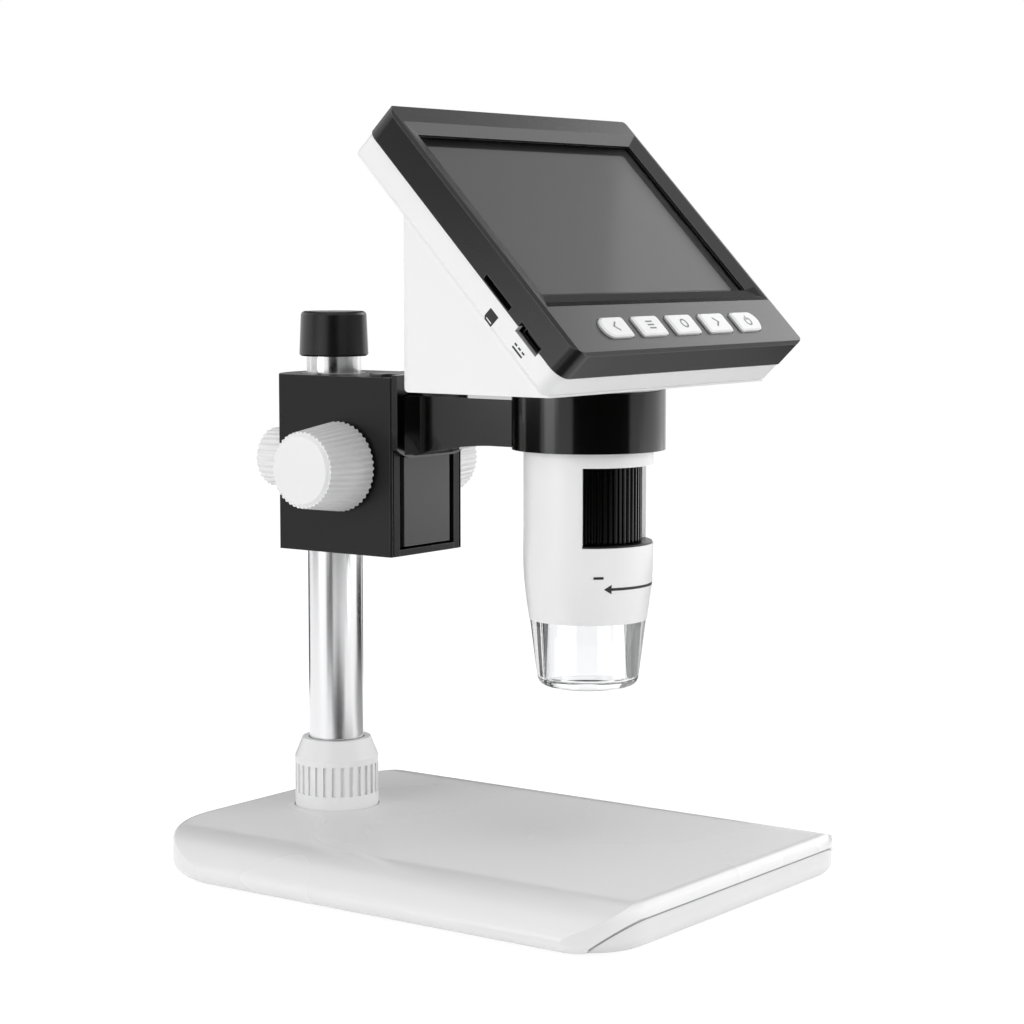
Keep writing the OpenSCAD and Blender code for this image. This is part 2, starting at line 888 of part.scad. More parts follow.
module clamp_knob() {
    color("white") translate([0, clamp_y + clamp_l, pinion_z]) rotate([90, 0, 0])
        difference() {
            translate([0, 0, knob_edge])
                linear_extrude(clamp_l - knob_edge, scale = clamp_d / clamp_face_d)
                    ribbed_outline(clamp_face_d / 2, clamp_ribs, knob_rib_depth);
            translate([0, 0, knob_edge + knob_face_t])
                cylinder(r = clamp_screw_r, h = clamp_l);
        }
    color("white") translate([0, clamp_y + clamp_l - knob_edge, pinion_z]) rotate([-90, 0, 0])
        cylinder(r1 = clamp_face_d / 2 - knob_rib_depth, r2 = clamp_face_d / 2 - knob_edge
            - knob_rib_depth, h = knob_edge);
}

module clamp_screw() {
    color("silver") translate([0, 0, pinion_z])
        rod_y(clamp_screw_r, clamp_tip_y, clamp_y + clamp_l - knob_edge - knob_face_t);
}

/* Pinion */

module pinion_shaft() {
    color("silver") translate([0, pinion_y, pinion_z])
        rod_x(shaft_r, -knob_start - knob_l + knob_face_t, knob_start + knob_l - knob_face_t);
}

// Angle in degrees that an involute has turned where it reaches radius r
function involute_angle(r) = let (p = acos(base_circle_r / r)) tan(p) * 180 / PI - p;

// Half of a tooth's angle at radius r
function half_tooth(r) = 90 / pinion_teeth - gear_backlash * 90 / (PI * pitch_r)
    + involute_angle(pitch_r) - involute_angle(r);

function flank_radii() = [for (k = [0 : flank_steps])
    base_circle_r + (gear_tip_r - base_circle_r) * k / flank_steps];

function tooth_points(a) = concat(
    [[gear_root_r, a - half_tooth(base_circle_r)]],
    [for (r = flank_radii()) [r, a - half_tooth(r)]],
    [for (k = [flank_steps : -1 : 0]) let (r = flank_radii()[k]) [r, a + half_tooth(r)]],
    [[gear_root_r, a + half_tooth(base_circle_r)]]
);

module pinion_gear() {
    color("goldenrod") translate([0, pinion_y, pinion_z]) along_x(gear_w) difference() {
        polygon([for (i = [0 : pinion_teeth - 1]) for (p = tooth_points(i * 360 / pinion_teeth))
            [p[0] * cos(p[1]), p[0] * sin(p[1])]]);
        circle(shaft_r);
    }
}

// A ribbed conical knob with its hollow side at the origin, pointing along +Z
module focus_knob() {
    translate([0, 0, knob_l - knob_edge])
        cylinder(r1 = knob_face_d / 2 - knob_rib_depth,
            r2 = knob_face_d / 2 - knob_edge - knob_rib_depth, h = knob_edge);
    difference() {
        linear_extrude(knob_l - knob_edge, scale = knob_face_d / knob_d)
            ribbed_outline(knob_d / 2, knob_ribs, knob_rib_depth);
        difference() {
            translate([0, 0, -over])
                cylinder(r = knob_face_d / 2 - knob_wall, h = knob_l - knob_face_t + over);
            cylinder(r = knob_hub_r, h = knob_l);
        }
        translate([0, 0, -over]) cylinder(r = shaft_r, h = knob_l - knob_face_t + over);
    }
}

module focus_knob_left() {
    color("white") translate([-knob_start, pinion_y, pinion_z]) rotate([0, -90, 0]) focus_knob();
}

module focus_knob_right() {
    color("white") translate([knob_start, pinion_y, pinion_z]) rotate([0, 90, 0]) focus_knob();
}

/* Slide and arm */

module arm_screw_places() {
    for (side = [-1, 1], share = arm_screw_z_shares)
        translate([side * arm_screw_x, 0, root_z + share * (arm_top - root_z)]) children();
}

module slide_plate() {
    color([0.16, 0.16, 0.17]) difference() {
        translate([0, 0, slide_z]) linear_extrude(slide_top - slide_z) difference() {
            union() {
                translate([-slide_half_w, block_front])
                    square([2 * slide_half_w, slide_back - block_front]);
                translate([-slide_flange_half_w, slide_flange_y])
                    square([2 * slide_flange_half_w, slide_flange_t]);
            }
            translate([-rack_w / 2, rack_root_y - rack_t])
                square([rack_w, slide_back]);
        }
        arm_screw_places() {
            rod_y(small_hole_r, 0, slide_back);
            rod_y(small_head_r + seat_gap, slide_back - 2 * small_head_h, slide_back + over);
        }
    }
}

module focus_rack() {
    rack_low = pinion_z + (rack_first_tooth + 0.5) * tooth_pitch;
    slope = tan(pressure_angle);
    half = tooth_pitch / 4 - gear_backlash / 2;
    color("goldenrod") along_x(rack_w) union() {
        translate([rack_root_y - rack_t, rack_low - tooth_pitch / 2])
            square([rack_t, rack_teeth * tooth_pitch]);
        for (i = [0 : rack_teeth - 1]) translate([0, rack_low + i * tooth_pitch]) polygon([
            [rack_root_y - over, -half - (rack_pitch_y - rack_root_y) * slope],
            [rack_root_y, -half - (rack_pitch_y - rack_root_y) * slope],
            [rack_tip_y, -half + rack_addendum * slope],
            [rack_tip_y, half - rack_addendum * slope],
            [rack_root_y, half + (rack_pitch_y - rack_root_y) * slope],
            [rack_root_y - over, half + (rack_pitch_y - rack_root_y) * slope]
        ]);
    }
}

// The root plate in X and Z; an arc lifts its lower edge from the arm out to each side
module root_outline() {
    difference() {
        translate([-block_half_w, root_z]) square([block_w, root_top - root_z]);
        for (side = [0, 1]) mirror([side, 0]) translate([arm_half_w, root_z]) difference() {
            translate([0, -over]) square([block_half_w - arm_half_w + over, root_side_rise + over]);
            translate([0, root_arc_r - fit]) circle(root_arc_r);
        }
    }
}

// The arm in Y and Z: an arc below and a small round above widen it towards its root
module arm_profile() {
    translate([arm_end_y, ring_z]) square([root_front - arm_end_y + over, arm_h]);
    translate([root_front - gusset_l, ring_z]) difference() {
        translate([0, -gusset_drop]) square([gusset_l + over, gusset_drop + over]);
        translate([0, fit - gusset_r]) circle(gusset_r);
    }
    translate([root_front - root_fillet_r, arm_top]) difference() {
        translate([0, -over]) square([root_fillet_r + over, root_fillet_r + over]);
        translate([0, root_fillet_r]) circle(root_fillet_r);
    }
}

module support_arm() {
    color([0.1, 0.1, 0.11]) difference() {
        union() {
            translate([0, root_back - root_t / 2, 0]) along_y(root_t) root_outline();
            translate([-slide_half_w, root_back - over, root_z + root_side_rise])
                cube([2 * slide_half_w, gap + over, arm_top - root_z - root_side_rise]);
            translate([0, 0, ring_z - root_flare_drop]) linear_extrude(arm_h + root_flare_drop)
                polygon([
                    [root_flare_inset - block_half_w, root_front + over],
                    [root_flare_inset - block_half_w, root_front],
                    [-arm_half_w, root_front - root_flare_t],
                    [arm_half_w, root_front - root_flare_t],
                    [block_half_w - root_flare_inset, root_front],
                    [block_half_w - root_flare_inset, root_front + over]
                ]);
            along_x(2 * arm_half_w) arm_profile();
            translate([0, barrel_y, ring_z]) cylinder(r = ring_r, h = ring_h);
        }
        translate([0, barrel_y, ring_z - over]) cylinder(r = ring_bore_r, h = ring_h + 2 * over);
        arm_screw_places() rod_y(small_screw_r, root_front, root_back + over);
    }
}

module arm_screws() {
    color("silver") arm_screw_places() translate([0, slide_back - small_head_h - gap, 0])
        rotate([90, 0, 0]) screw_up(slide_back - small_head_h - gap - root_front - gap,
            small_screw_r, small_head_r, small_head_h);
}

module ring_liner() {
    color([0.15, 0.15, 0.15])
        translate([0, barrel_y, ring_z + ring_liner_edge]) difference() {
            cylinder(r = ring_bore_r - fit, h = ring_h - 2 * ring_liner_edge);
            translate([0, 0, -over]) cylinder(r = barrel_r + fit, h = ring_h + 2 * over);
            translate([0, barrel_r, ring_h / 2])
                cube([liner_slot_w, 2 * ring_wall + barrel_wall, 2 * ring_h], center = true);
        }
}

/* Barrel */

function taper_share(i) = i / taper_steps;

module barrel_profile() {
    polygon(concat(
        [for (i = [0 : taper_steps]) let (s = taper_share(i))
            [barrel_end_r + (barrel_r - barrel_end_r) * sin(90 * s),
             barrel_z + barrel_taper_h * s]],
        [
            [barrel_r, barrel_top - shoulder_lip_t],
            [shoulder_lip_r, barrel_top - shoulder_lip_t], [shoulder_lip_r, barrel_top],
            [barrel_flange_bore_r, barrel_top], [barrel_flange_bore_r, optic_top],
            [barrel_bore_r, optic_top], [barrel_bore_r, barrel_z + barrel_taper_h],
            [tip_bore_r, led_board_z], [tip_bore_r, barrel_z]
        ]
    ));
}

module barrel_screw_places() {
    for (i = [0 : barrel_screw_count - 1]) translate([0, barrel_y, 0])
        rotate(90 + i * 360 / barrel_screw_count) translate([barrel_screw_ring_r, 0, 0])
            children();
}

// The stretch of ring that the window shows, from an inner to an outer radius
module window_arc(inner, outer, z, h, half_angle) {
    translate([0, barrel_y, z]) rotate(-90 - half_angle)
        rotate_extrude(angle = 2 * half_angle) translate([inner, 0]) square([outer - inner, h]);
}

module barrel_shell() {
    color("white") difference() {
        translate([0, barrel_y, 0]) rotate_extrude() barrel_profile();
        window_arc(barrel_bore_r - over, barrel_r + over, window_z, window_h, window_half_angle);
        barrel_screw_places() translate([0, 0, optic_top - over])
            cylinder(r = small_hole_r, h = barrel_flange_t + 2 * over);
    }
}

module barrel_screws() {
    color("silver") barrel_screw_places() translate([0, 0, wedge_z + wedge_floor_t])
        rotate([180, 0, 0]) screw_up(wedge_floor_t + barrel_flange_t + optic_flange_t,
            small_screw_r, small_head_r, small_head_h);
}

module optic_tube() {
    seat_z = thrust_z - optic_seat_t;
    color([0.2, 0.2, 0.2]) translate([0, barrel_y, 0]) difference() {
        rotate_extrude() polygon([
            [optic_bore_r, optic_z], [led_board_r, optic_z],
            [led_board_r, optic_z + optic_low_flange_t], [optic_r, optic_z + optic_low_flange_t],
            [optic_r, seat_z], [optic_seat_r, seat_z], [optic_seat_r, thrust_z],
            [optic_r, thrust_z], [optic_r, optic_top - optic_flange_t],
            [optic_flange_r, optic_top - optic_flange_t], [optic_flange_r, optic_top],
            [optic_bore_r, optic_top]
        ]);
        translate([0, 0, pin_z]) cube([2 * optic_r + 2 * over, 2 * (pin_r + gap / 2),
            2 * (lens_travel + pin_r + gap)], center = true);
        translate([0, -barrel_y, 0]) barrel_screw_places()
            translate([0, 0, optic_top - optic_flange_t - over])
                cylinder(r = small_hole_r, h = optic_flange_t + 2 * over);
    }
}

module thrust_ring() {
    color("black") {
        translate([0, barrel_y, thrust_z]) difference() {
            cylinder(r = thrust_r, h = thrust_t);
            translate([0, 0, -over]) cylinder(r = optic_r + fit, h = thrust_t + 2 * over);
        }
        window_arc(thrust_r - over, sill_r, window_z + fit, thrust_z + thrust_t - window_z - fit,
            window_half_angle - over / 2);
    }
}

module wheel_clip() {
    color("silver") translate([0, barrel_y, clip_z]) difference() {
        cylinder(r = clip_r, h = clip_t);
        translate([0, 0, -over]) cylinder(r = optic_r + fit, h = clip_t + 2 * over);
        translate([0, optic_r, 0]) cube([clip_gap_w, clip_r, 3 * clip_t], center = true);
    }
}

module sensor_board() {
    color("darkgreen") translate([0, barrel_y, optic_top]) {
        cylinder(r = sensor_board_r, h = sensor_board_t);
        translate([-sensor_w / 2, -sensor_w / 2, -sensor_t])
            cube([sensor_w, sensor_w, sensor_t + over / 2]);
    }
}

module led_board() {
    color("white") translate([0, barrel_y, led_board_z]) difference() {
        cylinder(r = led_board_r, h = led_board_t);
        translate([0, 0, -over]) cylinder(r = led_hole_r, h = led_board_t + 2 * over);
    }
}

module led_lamps() {
    color("lightyellow") for (i = [0 : led_count - 1]) translate([0, barrel_y, led_board_z])
        rotate(i * 360 / led_count) translate([led_ring_r, 0, 0]) {
            translate([0, 0, led_r - led_l]) cylinder(r = led_r, h = led_l - led_r);
            translate([0, 0, led_r - led_l]) sphere(led_r);
        }
}

module clear_tip() {
    round_z = tip_z + tip_round_r;
    round_at = tip_low_r - tip_round_r;
    color([0.85, 0.9, 0.95, 0.4]) translate([0, barrel_y, 0]) rotate_extrude() polygon(concat(
        [
            [tip_spigot_r - tip_wall, barrel_z + tip_spigot_h],
            [tip_spigot_r, barrel_z + tip_spigot_h], [tip_spigot_r, barrel_z],
            [tip_top_r, barrel_z]
        ],
        [for (i = [0 : tip_arc_steps]) let (a = -90 * i / tip_arc_steps)
            [round_at + tip_round_r * cos(a), round_z + tip_round_r * sin(a)]],
        [[round_at - tip_lip, tip_z], [round_at - tip_lip, tip_z + tip_wall]],
        [for (i = [tip_arc_steps : -1 : 0]) let (a = -90 * i / tip_arc_steps)
            [round_at + (tip_round_r - tip_wall) * cos(a),
             round_z + (tip_round_r - tip_wall) * sin(a)]],
        [[tip_spigot_r - tip_wall, barrel_z]]
    ));
}

module focus_wheel() {
    color([0.12, 0.12, 0.12]) translate([0, barrel_y, wheel_z]) difference() {
        linear_extrude(wheel_h) ribbed_outline(wheel_r, wheel_ribs, wheel_rib_depth);
        translate([0, 0, -over]) cylinder(r = wheel_bore_r, h = wheel_h + 2 * over);
    }
}

module lens_carrier() {
    color([0.25, 0.25, 0.27]) translate([0, barrel_y, 0]) {
        difference() {
            translate([0, 0, carrier_top - carrier_h]) cylinder(r = carrier_r, h = carrier_h);
            translate([0, 0, carrier_top - carrier_h - over])
                cylinder(r = carrier_r - carrier_wall, h = carrier_h + 2 * over);
            translate([0, 0, carrier_top - carrier_h - over])
                cylinder(r = lens_edge_r, h = lens_t + over);
        }
        for (side = [0, 1]) mirror([side, 0, 0]) translate([0, 0, pin_z])
            rod_x(pin_r, carrier_r - carrier_wall / 2, pin_end_r);
    }
}

module objective_lens() {
    color([0.7, 0.8, 0.95, 0.5])
        translate([0, barrel_y, carrier_top - carrier_h]) intersection() {
            cylinder(r = lens_edge_r - fit, h = lens_t);
            translate([0, 0, lens_sphere_r]) sphere(lens_sphere_r);
        }
}

/* Head */

// Places its children on the tilted face: X across, Y up the face, Z out of it
module in_head() {
    translate([0, head_y, head_z]) rotate([head_tilt, 0, 0]) children();
}

// A point of the head's side view, from a place up the face and a depth behind it
function head_side(up, depth) = [
    head_y + up * cos(head_tilt) + depth * sin(head_tilt),
    head_z + up * sin(head_tilt) - depth * cos(head_tilt)
];
function up_at_z(z, depth) = (z - head_z + depth * cos(head_tilt)) / sin(head_tilt);
function up_at_y(y, depth) = (y - head_y - depth * sin(head_tilt)) / cos(head_tilt);

// A slab of the head between two depths, inset all round, with its rear edges chamfered
module head_slab(inset, near, far, edge) {
    w = head_w - 2 * inset;
    l = head_l - 2 * inset;
    translate([0, head_l / 2, -far]) intersection() {
        linear_extrude(far - near) rounded_rect(w, l, head_corner_r - inset / 2);
        along_y(l) chamfered_bar(w, far - near, edge);
        along_x(w) chamfered_bar(l, far - near, edge);
    }
}

// A rectangle from the origin up, centred, with its two lower corners cut at an angle
module chamfered_bar(w, h, edge) {
    polygon([
        [-w / 2, h], [-w / 2, edge], [-w / 2 + edge, 0],
        [w / 2 - edge, 0], [w / 2, edge], [w / 2, h]
    ]);
}

// The wedge's side view, between the shell's rear face and a level floor
module wedge_profile(floor_z, back, depth, r) {
    low = head_side(up_at_z(floor_z, depth), depth);
    high = head_side(up_at_y(back, depth), depth);
    difference() {
        polygon([low, [back, floor_z], high]);
        translate([back, floor_z]) mirror([1, 0]) corner_cut(r);
    }
}

module wedge(half_w, floor_z, back, depth, r) {
    intersection() {
        along_x(2 * half_w) wedge_profile(floor_z, back, depth, r);
        translate([0, head_y, 0]) linear_extrude(head_z + head_l)
            rounded_rect(2 * half_w, 2 * (back - head_y), r);
    }
}

module case_screw_places() {
    in_head() for (side = [-1, 1]) translate([side * case_screw_x, case_screw_up, 0])
        children();
}

// The two side ports, cut from the left wall
module port_cut(up, w, h, depth) {
    translate([-head_w / 2 - over, up - w / 2, -depth - h / 2])
        cube([head_wall + 2 * over, w, h]);
}

module rear_shell() {
    inner_depth = head_depth - head_wall;
    color("white") difference() {
        union() {
            difference() {
                union() {
                    in_head() head_slab(shell_inset, bezel_t, head_depth, shell_edge);
                    wedge(wedge_half_w, wedge_z, wedge_back, head_depth - over, wedge_corner_r);
                }
                in_head() head_slab(head_wall, bezel_t - over, inner_depth, 0);
                wedge(wedge_half_w - head_wall, wedge_z + wedge_floor_t,
                    wedge_back - head_wall, inner_depth - over, wedge_corner_r - head_wall);
            }
            intersection() {
                case_screw_places() translate([0, 0, -2 * head_depth])
                    cylinder(r = case_well_r, h = 2 * head_depth - bezel_t);
                union() {
                    in_head() head_slab(shell_inset, bezel_t, head_depth, shell_edge);
                    wedge(wedge_half_w, wedge_z, wedge_back, head_depth - over, wedge_corner_r);
                }
            }
            in_head() for (side = [-1, 1])
                translate([side * hook_x - hook_w / 2, head_l - head_wall - gap - hook_t,
                    -inner_depth - over / 2])
                    cube([hook_w, hook_t, inner_depth - bezel_t + 2 * over]);
            for (side = [-1, 1]) translate([side * battery_rib_x, battery_y, wedge_z
                + wedge_floor_t / 2]) cube([battery_rib_t, battery_l, battery_z - wedge_z
                - wedge_floor_t / 2]);
        }
        translate([0, barrel_y, wedge_z - over])
            cylinder(r = cable_hole_r, h = wedge_floor_t + 2 * over);
        barrel_screw_places() translate([0, 0, wedge_z - over])
            cylinder(r = small_hole_r, h = wedge_floor_t + 2 * over);
        case_screw_places() {
            translate([0, 0, -3 * head_depth])
                cylinder(r = screw_sink_r, h = 3 * head_depth - case_head_depth + screw_head_h);
            translate([0, 0, -head_depth - over]) cylinder(r = screw_hole_r, h = head_depth);
        }
        in_head() port_cut(usb_up, usb_w, usb_h, bezel_t);
    }
}

// A button's outline; the end buttons have one fully round outer end
module button_outline(outer_side, grow) {
    w = button_w + 2 * grow;
    h = button_h + 2 * grow;
    difference() {
        rounded_rect(w, h, button_corner_r + grow);
        if (outer_side != 0) difference() {
            translate([outer_side * (w / 2 - h / 4), 0]) square([h / 2 + over, h + over],
                center = true);
            translate([outer_side * (w / 2 - h / 2), 0]) circle(h / 2);
        }
    }
}

function outer_side(i) = i == -2 ? -1 : i == 2 ? 1 : 0;

// The space over the screen: a slot through the wall and four slopes down to it
module screen_well() {
    near = [window_half_w + facet_side, window_low - facet_low, window_high + facet_top];
    steep = over / facet_depth;
    translate([-window_half_w, window_low, -front_t - over])
        cube([2 * window_half_w, window_high - window_low, front_t + 2 * over]);
    hull() for (level = [[0, -facet_depth], [1 + steep, over]]) {
        low = window_low + (near[1] - window_low) * level[0];
        high = window_high + (near[2] - window_high) * level[0];
        half = window_half_w + (near[0] - window_half_w) * level[0];
        translate([-half, low, level[1]]) linear_extrude(over / 100)
            square([2 * half, high - low]);
    }
}

module bezel() {
    color([0.16, 0.16, 0.17]) difference() {
        union() {
            in_head() difference() {
                mirror([0, 0, 1]) head_slab(0, -bezel_t, 0, bezel_edge);
                head_slab(head_wall, front_t, bezel_t + over, 0);
            }
            case_screw_places() translate([0, 0, -bezel_t + seat_gap])
                cylinder(r = case_boss_r, h = bezel_t - front_t / 2 - seat_gap);
        }
        case_screw_places() translate([0, 0, -bezel_t - over])
            cylinder(r = screw_hole_r, h = bezel_t - front_t + over);
        in_head() screen_well();
        in_head() for (i = [-2 : 2]) translate([i * button_pitch, button_up, -front_t - over])
            linear_extrude(front_t + 2 * over) button_outline(outer_side(i), button_gap);
        in_head() port_cut(usb_up, usb_w, usb_h, bezel_t);
        in_head() port_cut(card_up, card_w, card_h, card_depth);
    }
}

module cover_glass() {
    color([0.2, 0.22, 0.24, 0.5]) in_head()
        translate([-window_half_w - glass_lap, window_low - glass_lap, -front_t - glass_t])
            cube([2 * (window_half_w + glass_lap), window_high - window_low + 2 * glass_lap,
                glass_t]);
}

module lcd_panel() {
    color([0.3, 0.3, 0.32]) in_head()
        translate([-screen_w / 2 - panel_side, screen_low - panel_low, -panel_depth - panel_t])
            cube([screen_w + 2 * panel_side, screen_h + panel_low + panel_high, panel_t]);
}

module main_board() {
    color("darkgreen") in_head() {
        difference() {
            translate([-board_half_w, board_low, -board_depth - board_t])
                cube([2 * board_half_w, board_high - board_low, board_t]);
            for (side = [-1, 1]) translate([side * case_screw_x, case_screw_up, -head_depth])
                cylinder(r = case_well_r + gap, h = head_depth);
        }
        for (x = [-chip_w, chip_w]) translate([x - chip_w / 2, head_l / 2, -board_depth - over])
            cube([chip_w, chip_w, chip_t + over]);
    }
}

module battery() {
    color([0.75, 0.75, 0.8]) translate([-battery_w / 2, battery_y, battery_z])
        cube([battery_w, battery_l, battery_t]);
}

module button_board() {
    color("darkgreen") in_head() {
        translate([-button_board_half_w, button_board_low, -button_board_depth - button_board_t])
            cube([2 * button_board_half_w, button_board_high - button_board_low, button_board_t]);
        for (i = [-2 : 2]) translate([i * button_pitch, button_up, -button_board_depth]) {
            translate([-switch_w / 2, -switch_h / 2, -over / 2])
                cube([switch_w, switch_h, switch_t - plunger_h + over / 2]);
            cylinder(r = plunger_r, h = switch_t);
        }
    }
}

// A thin-walled socket, open on the left, that sits on the main board
module side_socket(up, w, l, h, tongue_h) {
    translate([-head_w / 2 + head_wall + port_setback, up - w / 2, -board_depth]) {
        difference() {
            cube([l, w, h]);
            translate([-over, port_wall_t, port_wall_t])
                cube([l + over - port_wall_t, w - 2 * port_wall_t, h - 2 * port_wall_t]);
        }
        translate([over / 2, 2 * port_wall_t, (h - tongue_h) / 2])
            cube([l - over, w - 4 * port_wall_t, tongue_h]);
    }
}

module usb_socket() {
    color("silver") in_head()
        side_socket(usb_up, usb_shell_w, usb_shell_l, usb_shell_h, usb_tongue_h);
}

module card_socket() {
    color("silver") in_head() translate([0, 0, board_depth - card_depth - card_shell_h / 2])
        difference() {
            translate([-head_w / 2 + head_wall + port_setback, card_up - card_shell_w / 2,
                -board_depth]) cube([card_shell_l, card_shell_w, card_shell_h]);
            translate([-head_w / 2, card_up - card_w / 2, -board_depth + port_wall_t])
                cube([card_shell_l, card_w, card_shell_h - 2 * port_wall_t]);
        }
}

module case_screws() {
    color("silver") case_screw_places() translate([0, 0, -case_head_depth + screw_head_h])
        screw_up(case_head_depth - screw_head_h - front_t - 2 * gap, screw_r, screw_head_r,
            screw_head_h);
}

// One push button: a cap through the wall, a flange behind it and a short stem
module push_button(i) {
    flange_near = -front_t - fit;
    color([0.85, 0.85, 0.87]) in_head() translate([i * button_pitch, button_up, 0]) {
        translate([0, 0, flange_near - over / 2])
            linear_extrude(button_proud - button_edge - flange_near + over / 2)
                button_outline(outer_side(i), 0);
        translate([0, 0, button_proud - button_edge])
            linear_extrude(button_edge, scale = 1 - 2 * button_edge / button_h)
                button_outline(outer_side(i), 0);
        translate([-button_w / 2 - button_flange, -button_h / 2 - button_flange,
            flange_near - button_flange_t])
            cube([button_w + 2 * button_flange, button_h + 2 * button_flange, button_flange_t]);
        translate([0, 0, flange_near - button_flange_t - button_stem_h])
            cylinder(r = button_stem_r, h = button_stem_h + over / 2);
    }
}

module button_left() { push_button(-2); }
module button_menu() { push_button(-1); }
module button_ok() { push_button(0); }
module button_right() { push_button(1); }
module button_power() { push_button(2); }

base_cover();
base_tray();
ballast_plate();
base_feet();
base_screws();
column_socket();
socket_screws();
column_tube();
column_cap();
column_collar();
focus_block();
column_liners();
pinion_bushes();
stop_plate();
stop_screws();
clamp_insert();
clamp_knob();
clamp_screw();
pinion_shaft();
pinion_gear();
focus_knob_left();
focus_knob_right();
slide_plate();
focus_rack();
support_arm();
arm_screws();
ring_liner();
barrel_shell();
barrel_screws();
optic_tube();
thrust_ring();
wheel_clip();
sensor_board();
led_board();
led_lamps();
clear_tip();
rear_shell();
bezel();
cover_glass();
lcd_panel();
main_board();
battery();
button_board();
usb_socket();
card_socket();
case_screws();
focus_wheel();
lens_carrier();
objective_lens();
button_left();
button_menu();
button_ok();
button_right();
button_power();
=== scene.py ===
"""Screen microscope on a column stand, finished for the photograph's view."""
import json
import math

import bpy
import numpy as np
from mathutils import Matrix, Vector


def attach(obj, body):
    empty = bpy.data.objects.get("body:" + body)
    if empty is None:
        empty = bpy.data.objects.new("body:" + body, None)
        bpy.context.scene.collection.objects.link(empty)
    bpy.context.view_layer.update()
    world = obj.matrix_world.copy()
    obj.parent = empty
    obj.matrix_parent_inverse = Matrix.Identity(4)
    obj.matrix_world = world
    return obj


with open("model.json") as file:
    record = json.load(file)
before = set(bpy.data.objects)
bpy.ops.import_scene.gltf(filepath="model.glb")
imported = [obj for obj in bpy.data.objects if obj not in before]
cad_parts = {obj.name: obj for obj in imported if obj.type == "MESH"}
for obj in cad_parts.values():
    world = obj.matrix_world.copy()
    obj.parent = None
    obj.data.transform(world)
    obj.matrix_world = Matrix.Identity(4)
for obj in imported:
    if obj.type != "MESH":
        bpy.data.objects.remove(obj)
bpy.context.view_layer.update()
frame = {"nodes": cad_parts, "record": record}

NODES = frame["nodes"]
RECORD = frame["record"]
BODY_OF = {n: b for b, ns in RECORD["behaviour"]["bodies"].items() for n in ns}
SLOT_OF = {s["node"]: s["material_slot"] for s in RECORD["subparts"]}
MM = 0.001
SCENE = bpy.context.scene

# Sizes and places that the details share with the CAD, in millimetres.
# The barrel: its axis, radius, lower end, and the height and depth of the taper there
BARREL_Y, BARREL_R = -33.6, 18.2
BARREL_END_Z, TAPER_H, BARREL_TAPER = 78.4, 17.6, 1.7

# The head: the foot of its face, its tilt and width
HEAD_ORIGIN = (0.0, -70.04, 154.8)
HEAD_TILT = math.radians(46)
HEAD_W = 113.6

# On the face: the lit area and the cover glass as two limits in x and two up the face, the
# near and far side of the print between glass and panel, the row of buttons, and the slope
# under the window, painted black there as painted shade
SCREEN = (-47.5, 47.5, 24.1, 78.1)
GLASS = (-52.0, 52.0, 20.4, 81.9)
PRINT_NEAR, PRINT_FAR = -3.405, -3.475
BUTTON_UP, BUTTON_PITCH, BUTTON_TOP = 8.4, 16.6, 0.9
WELL_LOW, WELL_HIGH, WELL_HALF, WELL_SKIN = 18.6, 22.1, 54.0, 0.03

# The base: its overall size, its shoulder, edge and corner radii, and the seam round its tray
BASE_W, BASE_L, BASE_TOP, FOOT_H = 129.2, 169.0, 14.0, 1.6
SHOULDER_R, EDGE_R, FRONT_R, BACK_R, PLAN_SPARE = 25.5, 3.5, 19.5, 34.0, 0.5
SEAM_DROP, SEAM_RUN, SEAM_GAP, TRAY_INSET = 3.7, 11.0, 0.6, 0.4

# Finishes: the case's white, dust, the black painted as shade on the slope under the window
# and how much duller it is than the bezel, and a squeeze that leaves a metal's grain even
WHITE = (0.86, 0.86, 0.86)
DUST_GREY = (0.62, 0.61, 0.59)
# Black of the painted shade on the bezel's slope under the window, and how much matter it is there
WELL_SHADE_BLACK, WELL_SHADE_MATT = (0.0015, 0.0015, 0.0015), 0.4
EVEN = (1.0, 1.0, 1.0)


# Node groups

def new_group(name, inputs, outputs):
    """An empty shader node group; inputs are (name, kind, default), outputs (name, kind)."""
    group = bpy.data.node_groups.new(name, "ShaderNodeTree")
    for label, kind, value in inputs:
        sock = group.interface.new_socket(label, in_out="INPUT", socket_type="NodeSocket" + kind)
        if value is not None:
            sock.default_value = value
    for label, kind in outputs:
        group.interface.new_socket(label, in_out="OUTPUT", socket_type="NodeSocket" + kind)
    return group, group.nodes.new("NodeGroupInput"), group.nodes.new("NodeGroupOutput")


def math_node(tree, kind, a, b=None, clamp=False):
    """One Math node; a and b are sockets or numbers."""
    node = tree.nodes.new("ShaderNodeMath")
    node.operation, node.use_clamp = kind, clamp
    for i, v in enumerate((a, b)):
        if v is None:
            continue
        if isinstance(v, (int, float)):
            node.inputs[i].default_value = v
        else:
            tree.links.new(v, node.inputs[i])
    return node.outputs[0]


def noise_node(tree, vector, scale, detail, rough=0.5):
    """One Noise Texture on a vector; its factor comes back."""
    node = tree.nodes.new("ShaderNodeTexNoise")
    node.inputs["Detail"].default_value = detail
    node.inputs["Roughness"].default_value = rough
    if isinstance(scale, (int, float)):
        node.inputs["Scale"].default_value = scale
    else:
        tree.links.new(scale, node.inputs["Scale"])
    tree.links.new(vector, node.inputs["Vector"])
    return node.outputs["Fac"]


